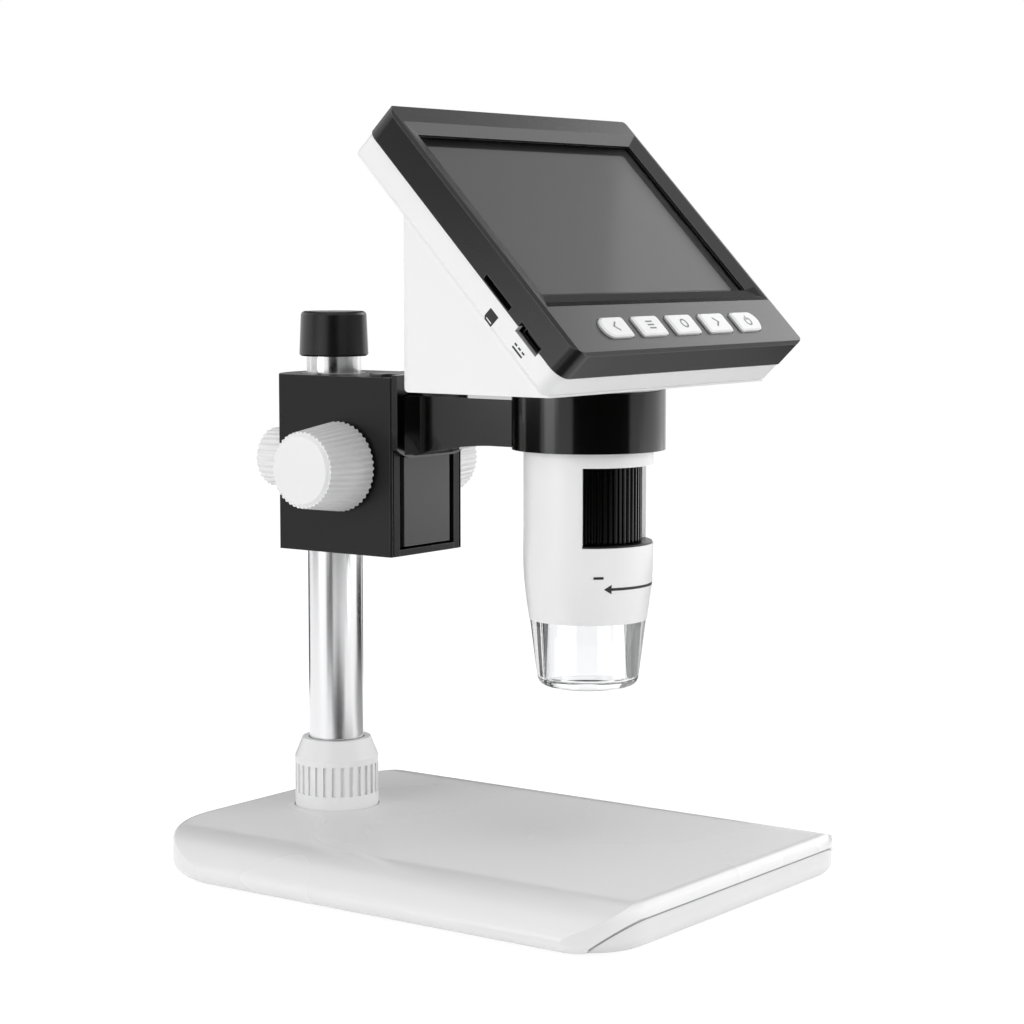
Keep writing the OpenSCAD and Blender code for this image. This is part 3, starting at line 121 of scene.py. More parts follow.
def moulded_skin_group():
    """Skin of a moulded part: height = fine grain + a little slow waviness (flow of the
    plastic); roughness = base + spread * (slow noise - 1/2); tone = 1 + shade * (noise - 1/2)."""
    group, gin, gout = new_group("moulded_skin", [
        ("Vector", "Vector", None), ("Grain Scale", "Float", 2600.0), ("Grain", "Float", 0.5),
        ("Wave", "Float", 0.5), ("Roughness", "Float", 0.3), ("Spread", "Float", 0.06),
        ("Shade", "Float", 0.04)], [("Height", "Float"), ("Roughness", "Float"), ("Tone", "Float")])
    links = group.links
    grain = noise_node(group, gin.outputs["Vector"], gin.outputs["Grain Scale"], detail=2.0)
    wave = noise_node(group, gin.outputs["Vector"], scale=38.0, detail=1.0)
    slow = noise_node(group, gin.outputs["Vector"], scale=24.0, detail=0.0)
    height = math_node(group, "ADD", math_node(group, "MULTIPLY", grain, gin.outputs["Grain"]),
                       math_node(group, "MULTIPLY", wave, gin.outputs["Wave"]))
    off = math_node(group, "SUBTRACT", slow, 0.5)
    rough = math_node(group, "ADD", gin.outputs["Roughness"],
                      math_node(group, "MULTIPLY", off, gin.outputs["Spread"]), clamp=True)
    tone = math_node(group, "ADD", 1.0, math_node(group, "MULTIPLY", off, gin.outputs["Shade"]))
    links.new(height, gout.inputs["Height"])
    links.new(rough, gout.inputs["Roughness"])
    links.new(tone, gout.inputs["Tone"])
    return group


def settled_dust_group():
    """Dust on faces that look up: mask = amount * max(normal z, 0)^2 * (speckled noise - the
    share that stays bare)."""
    bare_share = 0.35
    group, gin, gout = new_group("settled_dust", [
        ("Vector", "Vector", None), ("Amount", "Float", 0.1)], [("Mask", "Float")])
    geo = group.nodes.new("ShaderNodeNewGeometry")
    split = group.nodes.new("ShaderNodeSeparateXYZ")
    group.links.new(geo.outputs["Normal"], split.inputs[0])
    up = math_node(group, "MAXIMUM", split.outputs["Z"], 0.0)
    speck = noise_node(group, gin.outputs["Vector"], scale=900.0, detail=4.0, rough=0.7)
    cover = math_node(group, "MULTIPLY", math_node(group, "MULTIPLY", up, up),
                      math_node(group, "SUBTRACT", speck, bare_share, clamp=True))
    group.links.new(math_node(group, "MULTIPLY", cover, gin.outputs["Amount"], clamp=True),
                    gout.inputs["Mask"])
    return group


def drawn_streaks_group():
    """Streaks left by drawing or turning: noise on a vector squeezed along one axis, so its
    height and roughness change fast across the streaks and slowly along them."""
    group, gin, gout = new_group("drawn_streaks", [
        ("Vector", "Vector", None), ("Squeeze", "Vector", (1.0, 1.0, 0.02)),
        ("Scale", "Float", 2200.0), ("Roughness", "Float", 0.2), ("Spread", "Float", 0.12)],
        [("Height", "Float"), ("Roughness", "Float")])
    mul = group.nodes.new("ShaderNodeVectorMath")
    mul.operation = "MULTIPLY"
    group.links.new(gin.outputs["Vector"], mul.inputs[0])
    group.links.new(gin.outputs["Squeeze"], mul.inputs[1])
    streak = noise_node(group, mul.outputs[0], gin.outputs["Scale"], detail=3.0)
    off = math_node(group, "SUBTRACT", streak, 0.5)
    rough = math_node(group, "ADD", gin.outputs["Roughness"],
                      math_node(group, "MULTIPLY", off, gin.outputs["Spread"]), clamp=True)
    group.links.new(streak, gout.inputs["Height"])
    group.links.new(rough, gout.inputs["Roughness"])
    return group


def painted_edge_highlight_group():
    """Painted highlights on edges, as a rounded edge catches the light: mask = 1 - dot(normal
    rounded over a radius, true normal), times a gain, so that it is 0 on flats and rises at
    corners."""
    round_over = 0.35
    group, gin, gout = new_group("painted_edge_highlight", [("Gain", "Float", 3.0)], [("Mask", "Float")])
    bevel = group.nodes.new("ShaderNodeBevel")
    bevel.samples = 4
    bevel.inputs["Radius"].default_value = round_over * MM
    geo = group.nodes.new("ShaderNodeNewGeometry")
    dot = group.nodes.new("ShaderNodeVectorMath")
    dot.operation = "DOT_PRODUCT"
    group.links.new(bevel.outputs[0], dot.inputs[0])
    group.links.new(geo.outputs["Normal"], dot.inputs[1])
    edge = math_node(group, "SUBTRACT", 1.0, dot.outputs["Value"], clamp=True)
    group.links.new(math_node(group, "MULTIPLY", edge, gin.outputs["Gain"], clamp=True),
                    gout.inputs["Mask"])
    return group


SKIN, DUST = moulded_skin_group(), settled_dust_group()
STREAKS, PAINTED_EDGE_HIGHLIGHT = drawn_streaks_group(), painted_edge_highlight_group()


# Materials

def place_group(tree, group, vector=None, **values):
    """A node group placed in a material with its own values, named with _ for a space."""
    node = tree.nodes.new("ShaderNodeGroup")
    node.node_tree = group
    if vector is not None:
        tree.links.new(vector, node.inputs["Vector"])
    for label, value in values.items():
        node.inputs[label.replace("_", " ")].default_value = value
    return node


def blank_material(name, **sockets):
    """A material whose Principled shader has the given sockets set; its Object vector too."""
    mat = bpy.data.materials.new(name)
    mat.use_nodes = True
    tree = mat.node_tree
    shader = tree.nodes["Principled BSDF"]
    for label, value in sockets.items():
        shader.inputs[label.replace("_", " ")].default_value = value
    where = tree.nodes.new("ShaderNodeTexCoord").outputs["Object"]
    return mat, tree, shader, where


def shade_colour(tree, colour, factor):
    """colour times a grey factor, as a colour socket."""
    node = tree.nodes.new("ShaderNodeVectorMath")
    node.operation = "SCALE"
    node.inputs[0].default_value = colour[:3]
    tree.links.new(factor, node.inputs["Scale"])
    return node.outputs[0]


def mix_colour(tree, factor, a, b):
    """a blended to b by factor; a is a socket or a colour, b a colour."""
    node = tree.nodes.new("ShaderNodeMix")
    node.data_type = "RGBA"
    tree.links.new(factor, node.inputs[0])
    if isinstance(a, tuple):
        node.inputs[6].default_value = (*a[:3], 1.0)
    else:
        tree.links.new(a, node.inputs[6])
    node.inputs[7].default_value = (*b[:3], 1.0)
    return node.outputs[2]


def bump(tree, shader, height, distance):
    """Height into the shader's normal, distance in metres."""
    node = tree.nodes.new("ShaderNodeBump")
    node.inputs["Distance"].default_value = distance
    tree.links.new(height, node.inputs["Height"])
    tree.links.new(node.outputs[0], shader.inputs["Normal"])


def plastic(name, colour, rough, grain=0.5, wave=0.5, depth=0.00001, dust=0.06, edge_highlight=0.0,
            edge_highlight_colour=(0.2, 0.2, 0.2), shade=0.04, **sockets):
    """Moulded plastic: skin group for tone, roughness and bump, dust on top, painted edge
    highlights.
    A depth, dust or edge highlight amount of 0 leaves the bump, the dust or the painted highlights
    out."""
    mat, tree, shader, where = blank_material(name, **sockets)
    skin = place_group(tree, SKIN, where, Grain=grain, Wave=wave, Roughness=rough, Shade=shade)
    colour_out = shade_colour(tree, colour, skin.outputs["Tone"])
    # Painted highlights: the colour at edges is mixed towards a lighter one, as if the edges caught
    # the light
    if edge_highlight:
        lit_edges = place_group(tree, PAINTED_EDGE_HIGHLIGHT, None, Gain=edge_highlight)
        colour_out = mix_colour(tree, lit_edges.outputs["Mask"], colour_out, edge_highlight_colour)
    if dust:
        dusty = place_group(tree, DUST, where, Amount=dust)
        colour_out = mix_colour(tree, dusty.outputs["Mask"], colour_out, DUST_GREY)
    tree.links.new(colour_out, shader.inputs["Base Color"])
    tree.links.new(skin.outputs["Roughness"], shader.inputs["Roughness"])
    if depth:
        bump(tree, shader, skin.outputs["Height"], depth)
    return mat


def metal(name, colour, rough, squeeze=(1.0, 1.0, 0.02), spread=0.12, scale=2200.0,
          depth=0.000002, **sockets):
    """Drawn or turned metal: streaks in roughness and height along one axis, and a tone that
    changes by a few hundredths with their height."""
    tone_low, tone_span = 0.97, 0.06
    mat, tree, shader, where = blank_material(name, Metallic=1.0, **sockets)
    streak = place_group(tree, STREAKS, where, Squeeze=squeeze, Scale=scale, Roughness=rough,
                         Spread=spread)
    tone = math_node(tree, "ADD", tone_low,
                     math_node(tree, "MULTIPLY", streak.outputs["Height"], tone_span))
    tree.links.new(shade_colour(tree, colour, tone), shader.inputs["Base Color"])
    tree.links.new(streak.outputs["Roughness"], shader.inputs["Roughness"])
    bump(tree, shader, streak.outputs["Height"], depth)
    return mat


def clear_plastic(name, colour, deep, rough, ior):
    """Clear moulded plastic: plain transmission with faint flow marks in its normal. Where a
    wall is seen along its length it looks darker, because more plastic lies behind it: the
    colour goes to the deep one with the third power of how far the face turns away."""
    edge_power, flow_depth = 3.0, 0.00002
    mat, tree, shader, where = blank_material(
        name, Roughness=rough, IOR=ior, Transmission_Weight=1.0)
    facing = tree.nodes.new("ShaderNodeLayerWeight")
    facing.inputs["Blend"].default_value = 0.5
    edge = math_node(tree, "POWER", facing.outputs["Facing"], edge_power)
    tree.links.new(mix_colour(tree, edge, colour, deep), shader.inputs["Base Color"])
    skin = place_group(tree, SKIN, where, Grain=0.0, Wave=1.0)
    bump(tree, shader, skin.outputs["Height"], flow_depth)
    return mat


def circuit_material(name, mask_colour, copper):
    """Printed board: lacquer over traces, drawn by a brick pattern of copper under it."""
    second_share, copper_height = 0.8, 0.00002
    mat, tree, shader, where = blank_material(name, Roughness=0.35)
    brick = tree.nodes.new("ShaderNodeTexBrick")
    brick.inputs["Scale"].default_value = 120.0
    brick.inputs["Mortar Size"].default_value = 0.06
    brick.inputs["Color1"].default_value = (*mask_colour, 1.0)
    brick.inputs["Color2"].default_value = (*[c * second_share for c in mask_colour], 1.0)
    brick.inputs["Mortar"].default_value = (*copper, 1.0)
    tree.links.new(where, brick.inputs["Vector"])
    tree.links.new(brick.outputs["Color"], shader.inputs["Base Color"])
    bump(tree, shader, brick.outputs["Fac"], copper_height)
    return mat


def screen_material(name, grey):
    """The display's face, switched off: grey, half matte, with a little unevenness."""
    mat, tree, shader, where = blank_material(name, Specular_IOR_Level=0.35)
    skin = place_group(tree, SKIN, where, Roughness=0.42, Shade=0.05)
    tree.links.new(shade_colour(tree, grey, skin.outputs["Tone"]), shader.inputs["Base Color"])
    tree.links.new(skin.outputs["Roughness"], shader.inputs["Roughness"])
    return mat


def paint_well_shade(mat):
    """The bezel's slope under the window is painted black and made matt: painted shade, for the
    dark that the slope shows under the lamps. The mask is 1 where the place up the face,
    y' cos tilt + z' sin tilt, is between the window's edge and the slope's foot, its place out
    of the face, z' cos tilt - y' sin tilt, is below the face, and x is not at the bezel's own
    sides."""
    tree = mat.node_tree
    shader = tree.nodes["Principled BSDF"]
    split = tree.nodes.new("ShaderNodeSeparateXYZ")
    tree.links.new(tree.nodes["Texture Coordinate"].outputs["Object"], split.inputs[0])
    c, s = math.cos(HEAD_TILT), math.sin(HEAD_TILT)
    y = math_node(tree, "SUBTRACT", split.outputs["Y"], HEAD_ORIGIN[1] * MM)
    z = math_node(tree, "SUBTRACT", split.outputs["Z"], HEAD_ORIGIN[2] * MM)
    up = math_node(tree, "ADD", math_node(tree, "MULTIPLY", y, c),
                   math_node(tree, "MULTIPLY", z, s))
    out = math_node(tree, "SUBTRACT", math_node(tree, "MULTIPLY", z, c),
                    math_node(tree, "MULTIPLY", y, s))
    across = math_node(tree, "ABSOLUTE", split.outputs["X"])
    mask = math_node(tree, "GREATER_THAN", up, WELL_LOW * MM)
    for place, limit in ((up, WELL_HIGH), (out, -WELL_SKIN), (across, WELL_HALF)):
        inside = math_node(tree, "LESS_THAN", place, limit * MM)
        mask = math_node(tree, "MULTIPLY", mask, inside)
    base = shader.inputs["Base Color"].links[0].from_socket
    tree.links.new(mix_colour(tree, mask, base, WELL_SHADE_BLACK), shader.inputs["Base Color"])
    rough = shader.inputs["Roughness"].links[0].from_socket
    matt = math_node(tree, "MULTIPLY", mask, WELL_SHADE_MATT)
    tree.links.new(math_node(tree, "ADD", rough, matt, clamp=True), shader.inputs["Roughness"])


MATS = {
    "white_cover": plastic("white_cover", WHITE, 0.27, grain=0.0, wave=0.1, dust=0.0,
                           shade=0.015, Coat_Weight=0.12, Coat_Roughness=0.12),
    "white_plastic": plastic("white_plastic", WHITE, 0.3, grain=0.15, wave=0.1, dust=0.0,
                             shade=0.015),
    "white_tray": plastic("white_tray", (0.8, 0.8, 0.8), 0.42, grain=1.0, wave=0.2, dust=0.02),
    "seam_shade": plastic("seam_shade", (0.42, 0.42, 0.42), 0.5, dust=0.0),
    "ballast": metal("ballast", (0.24, 0.24, 0.25), 0.6, squeeze=EVEN, scale=400.0),
    "rubber_feet": plastic("rubber_feet", (0.03, 0.03, 0.03), 0.75, grain=1.2, wave=0.1,
                           depth=0.00003, Specular_IOR_Level=0.3),
    "screw_steel": metal("screw_steel", (0.62, 0.61, 0.6), 0.28, squeeze=(1, 1, 0.1)),
    "port_steel": metal("port_steel", (0.09, 0.09, 0.095), 0.35, squeeze=EVEN),
    "zinc_socket": metal("zinc_socket", (0.62, 0.62, 0.63), 0.45, squeeze=EVEN,
                         scale=900.0),
    "column_chrome": metal("column_chrome", (0.8, 0.8, 0.81), 0.2, spread=0.08,
                           squeeze=(1, 1, 0.01)),
    "black_cap": plastic("black_cap", (0.003, 0.003, 0.003), 0.28, grain=0.6, wave=0.3,
                         dust=0.01, edge_highlight=2.0, edge_highlight_colour=(0.03, 0.03, 0.03)),
    "block_black": plastic("block_black", (0.009, 0.009, 0.0092), 0.36, grain=0.9, wave=0.3,
                           dust=0.02, edge_highlight=4.0, edge_highlight_colour=(0.12, 0.12, 0.12),
                           Specular_IOR_Level=0.26),
    "slide_black": plastic("slide_black", (0.035, 0.035, 0.036), 0.3, grain=0.6, wave=0.3,
                           dust=0.02, edge_highlight=4.0, edge_highlight_colour=(0.16, 0.16, 0.16)),
    "arm_black": plastic("arm_black", (0.0015, 0.0015, 0.0015), 0.14, grain=0.15, wave=0.9,
                         dust=0.01, edge_highlight=2.0, edge_highlight_colour=(0.05, 0.05, 0.05)),
    "liner": plastic("liner", (0.62, 0.6, 0.55), 0.5),
    "liner_rubber": plastic("liner_rubber", (0.02, 0.02, 0.02), 0.7),
    "brass": metal("brass", (0.66, 0.5, 0.24), 0.25, squeeze=(0.02, 1, 1)),
    "shaft_steel": metal("shaft_steel", (0.6, 0.6, 0.61), 0.2, squeeze=(1, 0.02, 0.02)),
    "anodised": metal("anodised", (0.04, 0.04, 0.045), 0.4),
    "wheel_black": plastic("wheel_black", (0.001, 0.001, 0.001), 0.16, grain=0.5, wave=0.1,
                           dust=0.0, edge_highlight=1.0, edge_highlight_colour=(0.01, 0.01, 0.01),
                           Specular_IOR_Level=0.3),
    "clear_plastic": clear_plastic("clear_plastic", (0.98, 0.985, 0.99), (0.3, 0.3, 0.31),
                                   0.03, 1.49),
    "lens_glass": clear_plastic("lens_glass", (0.9, 0.95, 1.0), (0.6, 0.7, 0.8), 0.0, 1.52),
    "bezel_black": plastic("bezel_black", (0.01, 0.0098, 0.0102), 0.27, grain=0.8, wave=0.3,
                           dust=0.01, edge_highlight=4.0, edge_highlight_colour=(0.14, 0.14, 0.14)),
    "screen_glass": plastic("screen_glass", (0.01, 0.01, 0.01), 0.06, depth=0, dust=0.0,
                            Alpha=0.1),
    "lcd": screen_material("lcd", (0.11, 0.11, 0.114)),
    "board_green": circuit_material("board_green", (0.02, 0.12, 0.05), (0.05, 0.22, 0.08)),
    "board_white": circuit_material("board_white", (0.85, 0.85, 0.83), (0.7, 0.7, 0.68)),
    "led": plastic("led", (0.85, 0.82, 0.55), 0.2),
    "cell_foil": metal("cell_foil", (0.6, 0.6, 0.62), 0.35, squeeze=(0.05, 1, 1)),
    "button_silver": plastic("button_silver", (0.8, 0.8, 0.805), 0.3, grain=0.4, wave=0.2,
                             dust=0.02, edge_highlight=1.0, edge_highlight_colour=(0.88, 0.88, 0.88)),
    "mark_black": plastic("mark_black", (0.02, 0.02, 0.02), 0.5, dust=0.0),
    "mark_grey": plastic("mark_grey", (0.2, 0.2, 0.2), 0.5, dust=0.0),
    "mask_black": plastic("mask_black", (0.003, 0.003, 0.003), 0.3, dust=0.0,
                          Specular_IOR_Level=0.2),
}

# Painted shade: the bezel's slope under the window is painted black
paint_well_shade(MATS["bezel_black"])

# Each node's finish is its slot's, but the head's two sockets are a darker steel
FINISH_OF = {**SLOT_OF, "usb_socket": "port_steel", "card_socket": "port_steel"}
for node, cad in NODES.items():
    cad.data.materials.clear()
    cad.data.materials.append(MATS[FINISH_OF[node]])


# Making pieces

def add_piece(name, verts, faces, body, material, smooth=None):
    """A mesh object at the origin that rides on a body and takes a slot's finish. Its edges
    look smooth up to an angle in degrees, where one is given."""
    mesh = bpy.data.meshes.new(name)
    mesh.from_pydata((np.asarray(verts) * MM).tolist(), [], faces)
    mesh.materials.append(MATS[material])
    if smooth is not None:
        mesh.shade_smooth()
        mesh.set_sharp_from_angle(angle=math.radians(smooth))
    piece = bpy.data.objects.new(name, mesh)
    SCENE.collection.objects.link(piece)
    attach(piece, body)
    return piece


def to_head(points):
    """Points [x, up the face, out of it] of the tilted head as places in the frame: y is
    up cos tilt - out sin tilt, and z is up sin tilt + out cos tilt, both from the face's foot."""
    p = np.asarray(points, float)
    c, s = math.cos(HEAD_TILT), math.sin(HEAD_TILT)
    x, u, n = p[..., 0], p[..., 1], p[..., 2]
    return np.stack([x + HEAD_ORIGIN[0], HEAD_ORIGIN[1] + u * c - n * s,
                     HEAD_ORIGIN[2] + u * s + n * c], axis=-1)


def barrel_skin(z):
    """The barrel's radius at a height: full above its end, and down there the end's radius
    plus the taper times the sine of the share of the way up it, as a quarter turn."""
    share = np.clip((z - BARREL_END_Z) / TAPER_H, 0, 1)
    return BARREL_R - BARREL_TAPER * (1 - np.sin(math.pi / 2 * share))


def to_barrel(points):
    """Points [along the skin, height, out of it] wrapped round the barrel: the angle is the
    length along the skin over its full radius, and 0 looks to the front."""
    p = np.asarray(points, float)
    a = p[..., 0] / BARREL_R
    r = barrel_skin(p[..., 1]) + p[..., 2]
    return np.stack([r * np.sin(a), BARREL_Y - r * np.cos(a), p[..., 1]], axis=-1)


def stroke(path, width, closed=False):
    """Left and right edge of a line of even width along a flat path: each point moved along
    the bisector's normal by half the width over the cosine of half the turn there. The cosine
    counts as no less than a limit, so that a sharp turn makes no spike."""
    sharpest = 0.5
    p = np.asarray(path, float)
    if closed:
        fwd = np.roll(p, -1, 0) - p
        back = p - np.roll(p, 1, 0)
    else:
        fwd = np.vstack([np.diff(p, axis=0), p[-1:] - p[-2:-1]])
        back = np.vstack([p[1:2] - p[:1], np.diff(p, axis=0)])
    fwd = fwd / np.linalg.norm(fwd, axis=1, keepdims=True)
    back = back / np.linalg.norm(back, axis=1, keepdims=True)
    tangent = fwd + back
    tangent = tangent / np.linalg.norm(tangent, axis=1, keepdims=True)
    side = np.stack([-tangent[:, 1], tangent[:, 0]], axis=1)
    reach = width / 2 / np.clip(np.sum(tangent * fwd, axis=1), sharpest, 1)[:, None]
    return p + side * reach, p - side * reach


def raised_stroke(path, width, rise, closed=False):
    """A printed line, closed all round: the two edges of its stroke once at a rise above the
    surface and once on it, joined by a top, a bottom, two sides and, on an open line, ends."""
    left, right = stroke(path, width, closed)
    n = len(left)
    flat = np.concatenate([left, right, left, right])
    height = np.concatenate([np.full(2 * n, rise), np.zeros(2 * n)])[:, None]
    verts = np.hstack([flat, height])
    last = n if closed else n - 1
    i = np.arange(last)
    j = (i + 1) % n
    quads = np.concatenate([
        np.stack([i, i + n, j + n, j], 1),
        np.stack([i + 2 * n, j + 2 * n, j + 3 * n, i + 3 * n], 1),
        np.stack([i, j, j + 2 * n, i + 2 * n], 1),
        np.stack([i + n, i + 3 * n, j + 3 * n, j + n], 1)])
    if not closed:
        e = n - 1
        quads = np.concatenate([quads, [[0, 2 * n, 3 * n, n], [e, e + n, e + 3 * n, e + 2 * n]]])
    return verts, quads


def join_parts(parts):
    """Several (verts, faces) as one."""
    verts, faces, count = [], [], 0
    for v, f in parts:
        verts.append(np.asarray(v, float))
        faces += [(np.asarray(face) + count).tolist() for face in f]
        count += len(v)
    return np.concatenate(verts), faces


def arc(centre, radius, start, end, count):
    """Points of an arc, centre + radius * (cos, sin), angles in degrees."""
    a = np.radians(np.linspace(start, end, count))
    return np.stack([centre[0] + radius * np.cos(a), centre[1] + radius * np.sin(a)], axis=1)


# Marks on the buttons, the barrel and the head's side

def button_marks():
    """Line marks on the five buttons: arrow left, three bars, ring, arrow right, and the power
    sign, an arc that is open at the top with a bar in the gap."""
    rise, width, sunk = 0.06, 0.5, 0.01
    arrow_run, arrow_half = 0.9, 1.5
    bar_half, bar_pitch = 1.5, 1.15
    ring_r, ring_end, ring_points = 1.35, 345, 24
    power_drop, power_from, power_to, power_points = 0.2, 125, 415, 28
    power_top, power_foot = 1.8, 0.2
    left = [(arrow_run, arrow_half), (-arrow_run, 0), (arrow_run, -arrow_half)]
    ring = arc((0, 0), ring_r, 0, ring_end, ring_points)
    power = arc((0, -power_drop), ring_r, power_from, power_to, power_points)
    marks = {
        "left": [raised_stroke(left, width, rise)],
        "menu": [raised_stroke([(-bar_half, y), (bar_half, y)], width, rise)
                 for y in (bar_pitch, 0, -bar_pitch)],
        "ok": [raised_stroke(ring, width, rise, closed=True)],
        "right": [raised_stroke([(-x, y) for x, y in left], width, rise)],
        "power": [raised_stroke(power, width, rise),
                  raised_stroke([(0, power_top), (0, power_foot)], width, rise)],
    }
    for i, (key, parts) in enumerate(marks.items()):
        verts, faces = join_parts(parts)
        middle = (i - (len(marks) - 1) / 2) * BUTTON_PITCH
        verts = verts + np.array([middle, BUTTON_UP, BUTTON_TOP - sunk])
        add_piece("mark_" + key, to_head(verts), faces, "key_" + key,
                  "mark_grey")


def barrel_marks():
    """A long arrow round the barrel's front from minus to plus, printed in black: a line with
    a three-cornered head at each end, and a sign over each head. Angles round the barrel are
    in degrees from the front."""
    rise, plus_lift = 0.06, 0.01
    line_z, line_width, line_points = 88.6, 0.75, 60
    tip, head_length, overlap, head_half = 41.6, 7, 3, 1.3
    sign_at, sign_z, sign_half, sign_width, sign_points = 46.6, 91.8, 1.4, 0.7, 8
    degree = math.radians(1) * BARREL_R
    end = (tip - head_length + overlap) * degree
    line = np.stack([np.linspace(-end, end, line_points), np.full(line_points, line_z)], 1)
    parts = [raised_stroke(line, line_width, rise)]
    back = (tip - head_length) * degree
    for side in (-1, 1):
        corners = np.array([(side * tip * degree, line_z), (side * back, line_z + head_half),
                            (side * back, line_z - head_half)])
        top = np.hstack([corners, np.full((3, 1), rise)])
        low = np.hstack([corners, np.zeros((3, 1))])
        order = [(0, 1, 2), (3, 5, 4), (0, 3, 4, 1), (1, 4, 5, 2), (2, 5, 3, 0)]
        parts.append((np.vstack([top, low]), [face[::side] for face in order]))
    reach = np.linspace(-sign_half, sign_half, sign_points)
    level = np.full(sign_points, sign_z)
    for side in (-1, 1):
        bar = np.stack([reach + side * sign_at * degree, level], 1)
        parts.append(raised_stroke(bar, sign_width, rise))
    upright = np.stack([0 * reach + sign_at * degree, reach + sign_z], 1)
    parts.append(raised_stroke(upright, sign_width, rise + plus_lift))
    verts, faces = join_parts(parts)
    add_piece("focus_direction_mark", to_barrel(verts), faces, "scope",
              "mark_black")


def side_marks():
    """Generic marks on the head's left side: by the slot a dark card with one cut corner, and
    by the power port the sign for direct current, a line over three dashes."""
    rise, lift, width = 0.05, 0.01, 0.5
    card_at, card_half, card_low, card_high, card_cut = (26.3, 13.9), 1.5, 1.2, 1.8, 0.6
    fill_half, fill_width = 1.4, 2.4
    sign_at, sign_half, sign_rise, dash, dash_pitch = (14.2, 13.7), 2.1, 0.55, 1.0, 1.6
    shell_inset = 0.3
    rim = raised_stroke([(-card_half, -card_low), (card_half, -card_low),
                         (card_half, card_high - card_cut), (card_half - card_cut, card_high),
                         (-card_half, card_high)], width, rise, closed=True)
    fill = raised_stroke([(-fill_half, 0), (fill_half, 0)], fill_width, rise + lift)
    sign = [raised_stroke([(-sign_half, sign_rise), (sign_half, sign_rise)], width, rise)]
    for i in range(3):
        x = -sign_half + i * dash_pitch
        sign.append(raised_stroke([(x, -sign_rise), (x + dash, -sign_rise)], width, rise))
    parts = [(v + np.array([*card_at, 0]), f) for v, f in (rim, fill)]
    parts += [(v + np.array([*sign_at, 0]), f) for v, f in sign]
    verts, faces = join_parts(parts)
    side = -HEAD_W / 2 + shell_inset
    flat = np.stack([side - verts[:, 2], verts[:, 0], -verts[:, 1]], axis=1)
    add_piece("side_marks", to_head(flat), faces, "scope", "mark_black")


def seam_lip(name, end, corner_r):
    """The tray's lip seen in the seam. Its line runs along the base's outline, moved inwards:
    a corner's quarter circle, the straight end and the other corner. Its height is that of
    the seam: level behind the end wall and, further in, falling on the slope to the foot.
    Across, x is held inside the shoulder's arc at that height."""
    tuck, gap_share, edge_share, wall_thickness = 0.2, 0.65, 0.4, 0.4
    corner_steps, smooth_up_to = 40, 40
    inset, reach = TRAY_INSET + tuck, SEAM_GAP * gap_share
    half = BASE_W / 2 + PLAN_SPARE - corner_r
    y_mid = BASE_L / 2 - corner_r
    turn = np.radians(np.linspace(0, 90, corner_steps))
    r = corner_r - inset
    x = np.concatenate([-half - r * np.cos(turn), half + r * np.cos(turn[::-1])])
    y = np.concatenate([y_mid + r * np.sin(turn), y_mid + r * np.sin(turn[::-1])])
    level = BASE_TOP - SEAM_DROP - SEAM_GAP / 2
    slope = (level - FOOT_H) / (SEAM_RUN - TRAY_INSET)
    z = np.minimum(level, level - (BASE_L / 2 - TRAY_INSET - y) * slope)
    keep = z > FOOT_H + EDGE_R * edge_share
    x, y, z = x[keep], y[keep], z[keep]
    edge_z, shoulder_z = FOOT_H + EDGE_R, BASE_TOP - SHOULDER_R
    edge_x = BASE_W / 2 - EDGE_R
    flat = edge_x - math.sqrt((SHOULDER_R - EDGE_R) ** 2 - (edge_z - shoulder_z) ** 2)
    rows = z[None, :] + np.array([-reach, 0, reach])[:, None]
    above = flat + np.sqrt((SHOULDER_R - inset) ** 2 - (rows - shoulder_z) ** 2)
    below = edge_x + np.sqrt(np.maximum((EDGE_R - inset) ** 2
                                        - np.minimum(rows - edge_z, 0) ** 2, 0))
    limit = np.minimum(above, below)
    xs = np.clip(x[None, :], -limit, limit)
    ys = np.broadcast_to(end * y, rows.shape)
    verts = np.stack([xs, ys, rows], axis=-1).reshape(-1, 3)
    n = len(x)
    i, j = np.meshgrid(np.arange(2), np.arange(n - 1), indexing="ij")
    a = (i * n + j).ravel()
    quads = np.stack([a, a + 1, a + n + 1, a + n], axis=1)[:, ::int(-end)]
    piece = add_piece(name, verts, quads.tolist(), BODY_OF["base_tray"],
                      "seam_shade", smooth=smooth_up_to)
    wall = piece.modifiers.new("wall", "SOLIDIFY")
    wall.thickness, wall.offset = wall_thickness * MM, -1.0


def screen_mask():
    """Black print behind the cover glass: a flat frame from the glass's rim to the lit area,
    with four corners outside and four inside, on its near and on its far side."""
    rims = [(x, u) for x0, x1, u0, u1 in (GLASS, SCREEN)
            for x, u in ((x0, u0), (x1, u0), (x1, u1), (x0, u1))]
    verts = [(x, u, depth) for depth in (PRINT_NEAR, PRINT_FAR) for x, u in rims]
    faces = []
    for i in range(4):
        j = (i + 1) % 4
        faces += [(i, j, j + 4, i + 4), (i + 8, i + 12, j + 12, j + 8),
                  (i, i + 8, j + 8, j), (i + 4, j + 4, j + 12, i + 12)]
    add_piece("screen_mask", to_head(verts), faces, "scope", "mask_black")


button_marks()
barrel_marks()
side_marks()
screen_mask()
seam_lip("seam_lip_front", -1, FRONT_R)
seam_lip("seam_lip_back", 1, BACK_R)


# Studio

# Lamps: name, azimuth and rise in degrees, power in watts. An azimuth is counted from +X,
# counterclockwise from above.
LAMP_DISTANCE, LAMP_SIZE, LAMP_AIM = 1.2, (0.9, 0.8), 0.12
LAMPS = [
    ("left_box", 168, 10, 7.6),
    ("right_box", -62, 10, 7.8),
    ("top_box", -110, 68, 4.2),
]

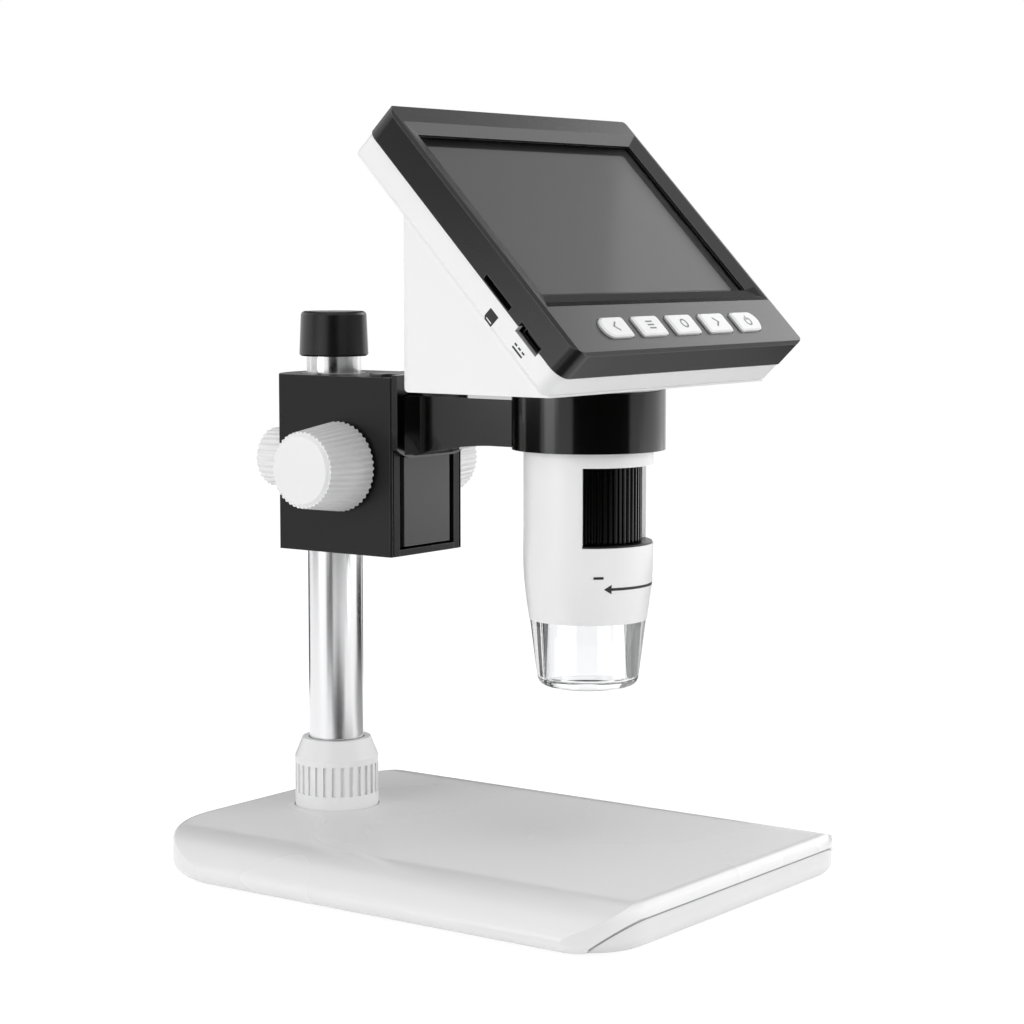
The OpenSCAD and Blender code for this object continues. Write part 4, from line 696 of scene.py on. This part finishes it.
# Upright cards in the reflections: name, azimuth in degrees, then in metres the distance, the
# width and the heights of the lower and upper edge, and the brightness
CARDS = [
    ("left_strip", 156, 1.4, 0.42, 0.0, 0.1, 3.0),
    ("left_grey", 82, 1.2, 0.7, 0.0, 0.085, 0.1),
    ("left_high", 108, 1.0, 1.4, 0.1, 0.6, 1.2),
    ("cap_strip", 158, 0.84, 0.4, 0.104, 0.138, 5.0),
    ("side_dark", 152, 0.85, 0.36, 0.134, 0.9, 0.0),
    ("right_low", -30, 1.6, 1.6, -0.1, 0.09, 1.4),
    ("slide_card", -36, 0.42, 0.5, 0.045, 0.092, 2.4),
    ("right_dark", -52, 1.5, 1.9, 0.095, 0.45, 0.0),
    ("right_card", -30, 1.6, 1.29, 0.5, 1.15, 2.2),
    ("front_card", -2, 1.6, 0.5, 0.4, 1.25, 2.6),
    ("high_card", -10, 1.6, 1.63, 1.25, 2.2, 0.6),
    ("facet_dark", 38, 1.55, 1.7, 0.52, 1.9, 0.0),
    ("front_low", -125, 0.72, 1.3, 0.0, 0.2, 0.0),
    ("front_high", -125, 0.95, 1.5, 0.113, 1.2, 0.0),
    ("back_low", 124, 0.9, 0.54, 0.0, 0.1, 0.0),
    ("low_dark", -12, 0.33, 0.26, 0.0, 0.06, 0.0),
    ("low_back", 50, 0.33, 0.4, 0.0, 0.06, 0.0),
    ("low_grey", -175, 0.33, 0.16, 0.0, 0.06, 0.1),
]

# The same for the cards that only show through the clear tip
TIP_CARDS = [
    ("tip_left", 88, 0.26, 0.3, 0.0, 0.25, 0.02),
    ("tip_right", -20, 0.26, 0.3, 0.0, 0.25, 0.3),
]

# Cards on the floor: name, centre and size in metres, brightness
FLOOR_CARDS = [
    ("floor_dark_left", (-0.17, -0.14), (0.2, 0.22), 0.0),
    ("floor_dark_right", (0.25, -0.05), (0.22, 0.3), 0.4),
]

# The camera: sensor and lens in millimetres, its place in metres, and the directions in which
# it looks and in which its picture's right side lies
SENSOR_WIDTH, FOCAL_LENGTH = 36.0, 91.08
CAMERA_AT = (-0.59517, -0.44044, 0.18168)
CAMERA_FORWARD = (0.8043, 0.5855, -0.1014)
CAMERA_RIGHT = (0.5885, -0.8085, 0.0)


def white_share(tree):
    """1 for camera, glossy and transmission rays, 0 for the rays that light the object."""
    path = tree.nodes.new("ShaderNodeLightPath")
    return math_node(tree, "MAXIMUM", path.outputs["Is Camera Ray"],
                     math_node(tree, "MAXIMUM", path.outputs["Is Glossy Ray"],
                               path.outputs["Is Transmission Ray"]))


def stage_plane(name, centre, size, facing):
    """A flat rectangle of the studio that faces a point."""
    mesh = bpy.data.meshes.new(name)
    w, h = size[0] / 2, size[1] / 2
    mesh.from_pydata([(-w, -h, 0), (w, -h, 0), (w, h, 0), (-w, h, 0)], [], [(0, 1, 2, 3)])
    card = bpy.data.objects.new(name, mesh)
    card.location = centre
    card.rotation_mode = "QUATERNION"
    card.rotation_quaternion = (Vector(facing) - Vector(centre)).to_track_quat("Z", "Y")
    mat = bpy.data.materials.new(name)
    mat.use_nodes = True
    mesh.materials.append(mat)
    SCENE.collection.objects.link(card)
    return card, mat.node_tree


def studio_floor(size, bounce, glow, pale):
    """A wide floor: a plain pale surface to the light, and white with the object's soft
    shadow on it to the eye, which is glow plus a pale share of the light that reaches it."""
    _, tree = stage_plane("floor", (0, 0, 0), (size, size), (0, 0, 1))
    nodes, links = tree.nodes, tree.links
    nodes.remove(nodes["Principled BSDF"])
    plain, thin = (nodes.new("ShaderNodeBsdfDiffuse") for _ in range(2))
    plain.inputs["Color"].default_value = (bounce, bounce, bounce, 1)
    thin.inputs["Color"].default_value = (pale, pale, pale, 1)
    white = nodes.new("ShaderNodeEmission")
    white.inputs["Strength"].default_value = glow
    both, mix = nodes.new("ShaderNodeAddShader"), nodes.new("ShaderNodeMixShader")
    links.new(white.outputs[0], both.inputs[0])
    links.new(thin.outputs[0], both.inputs[1])
    links.new(white_share(tree), mix.inputs[0])
    links.new(plain.outputs[0], mix.inputs[1])
    links.new(both.outputs[0], mix.inputs[2])
    links.new(mix.outputs[0], nodes["Material Output"].inputs["Surface"])


def glow_card(name, centre, size, facing, level, seen_by):
    """A flat card of even brightness that one kind of ray sees and no other: "glossy" for
    reflections, "transmission" for what shows through clear plastic. A bright one stands for
    a softbox, a dark one for a flag."""
    card, tree = stage_plane(name, centre, size, facing)
    tree.nodes.remove(tree.nodes["Principled BSDF"])
    glow = tree.nodes.new("ShaderNodeEmission")
    glow.inputs["Strength"].default_value = level
    tree.links.new(glow.outputs[0], tree.nodes["Material Output"].inputs["Surface"])
    for ray in ("camera", "diffuse", "glossy", "transmission", "volume_scatter", "shadow"):
        setattr(card, "visible_" + ray, ray == seen_by)


def upright_card(seen_by, name, azimuth, distance, width, low, high, level):
    """A card that stands upright, faces the object and reaches from one height to another."""
    a = math.radians(azimuth)
    middle = (low + high) / 2
    at = (distance * math.cos(a), distance * math.sin(a), middle)
    glow_card(name, at, (width, high - low), (0, 0, middle), level, seen_by)


def floor_card(name, centre, size, level):
    """A card that lies just above the floor."""
    above_floor = 0.0005
    glow_card(name, (*centre, above_floor), size, (*centre, 1), level, "glossy")


def softbox(name, azimuth, rise, power):
    """A rectangular area lamp that lights the object from a side; reflections leave it out,
    because the cards give them their shapes."""
    light = bpy.data.lights.new(name, "AREA")
    light.shape = "RECTANGLE"
    light.size, light.size_y = LAMP_SIZE
    light.energy = power
    lamp = bpy.data.objects.new(name, light)
    a, e = math.radians(azimuth), math.radians(rise)
    flat = LAMP_DISTANCE * math.cos(e)
    aim = Vector((0, 0, LAMP_AIM))
    lamp.location = aim + Vector((flat * math.cos(a), flat * math.sin(a),
                                  LAMP_DISTANCE * math.sin(e)))
    lamp.rotation_mode = "QUATERNION"
    lamp.rotation_quaternion = (lamp.location - aim).to_track_quat("Z", "Y")
    lamp.visible_glossy = False
    SCENE.collection.objects.link(lamp)


def studio_world(ambient):
    """White for camera, glossy and transmission rays, plain grey light for the rest."""
    world = bpy.data.worlds.new("studio")
    SCENE.world = world
    world.use_nodes = True
    tree = world.node_tree
    level = math_node(tree, "ADD", ambient,
                      math_node(tree, "MULTIPLY", white_share(tree), 1.0 - ambient))
    back = tree.nodes["Background"]
    back.inputs["Color"].default_value = (1, 1, 1, 1)
    tree.links.new(level, back.inputs["Strength"])


def photo_camera():
    """The photograph's camera: place and axes from its measured vanishing lines."""
    data = bpy.data.cameras.new("camera")
    data.sensor_width, data.lens = SENSOR_WIDTH, FOCAL_LENGTH
    data.clip_start, data.clip_end = 0.01, 100
    cam = bpy.data.objects.new("camera", data)
    forward = Vector(CAMERA_FORWARD).normalized()
    right = Vector(CAMERA_RIGHT).normalized()
    up = right.cross(forward).normalized()
    turn = Matrix((right, up, -forward)).transposed()
    cam.rotation_mode = "QUATERNION"
    cam.rotation_quaternion = turn.to_quaternion()
    cam.location = CAMERA_AT
    SCENE.collection.objects.link(cam)
    SCENE.camera = cam


studio_world(ambient=0.34)
studio_floor(size=60, bounce=0.9, glow=0.9, pale=0.32)
for lamp_values in LAMPS:
    softbox(*lamp_values)
for card_values in CARDS:
    upright_card("glossy", *card_values)
for card_values in FLOOR_CARDS:
    floor_card(*card_values)
for card_values in TIP_CARDS:
    upright_card("transmission", *card_values)
photo_camera()
SCENE.view_settings.view_transform = "Standard"
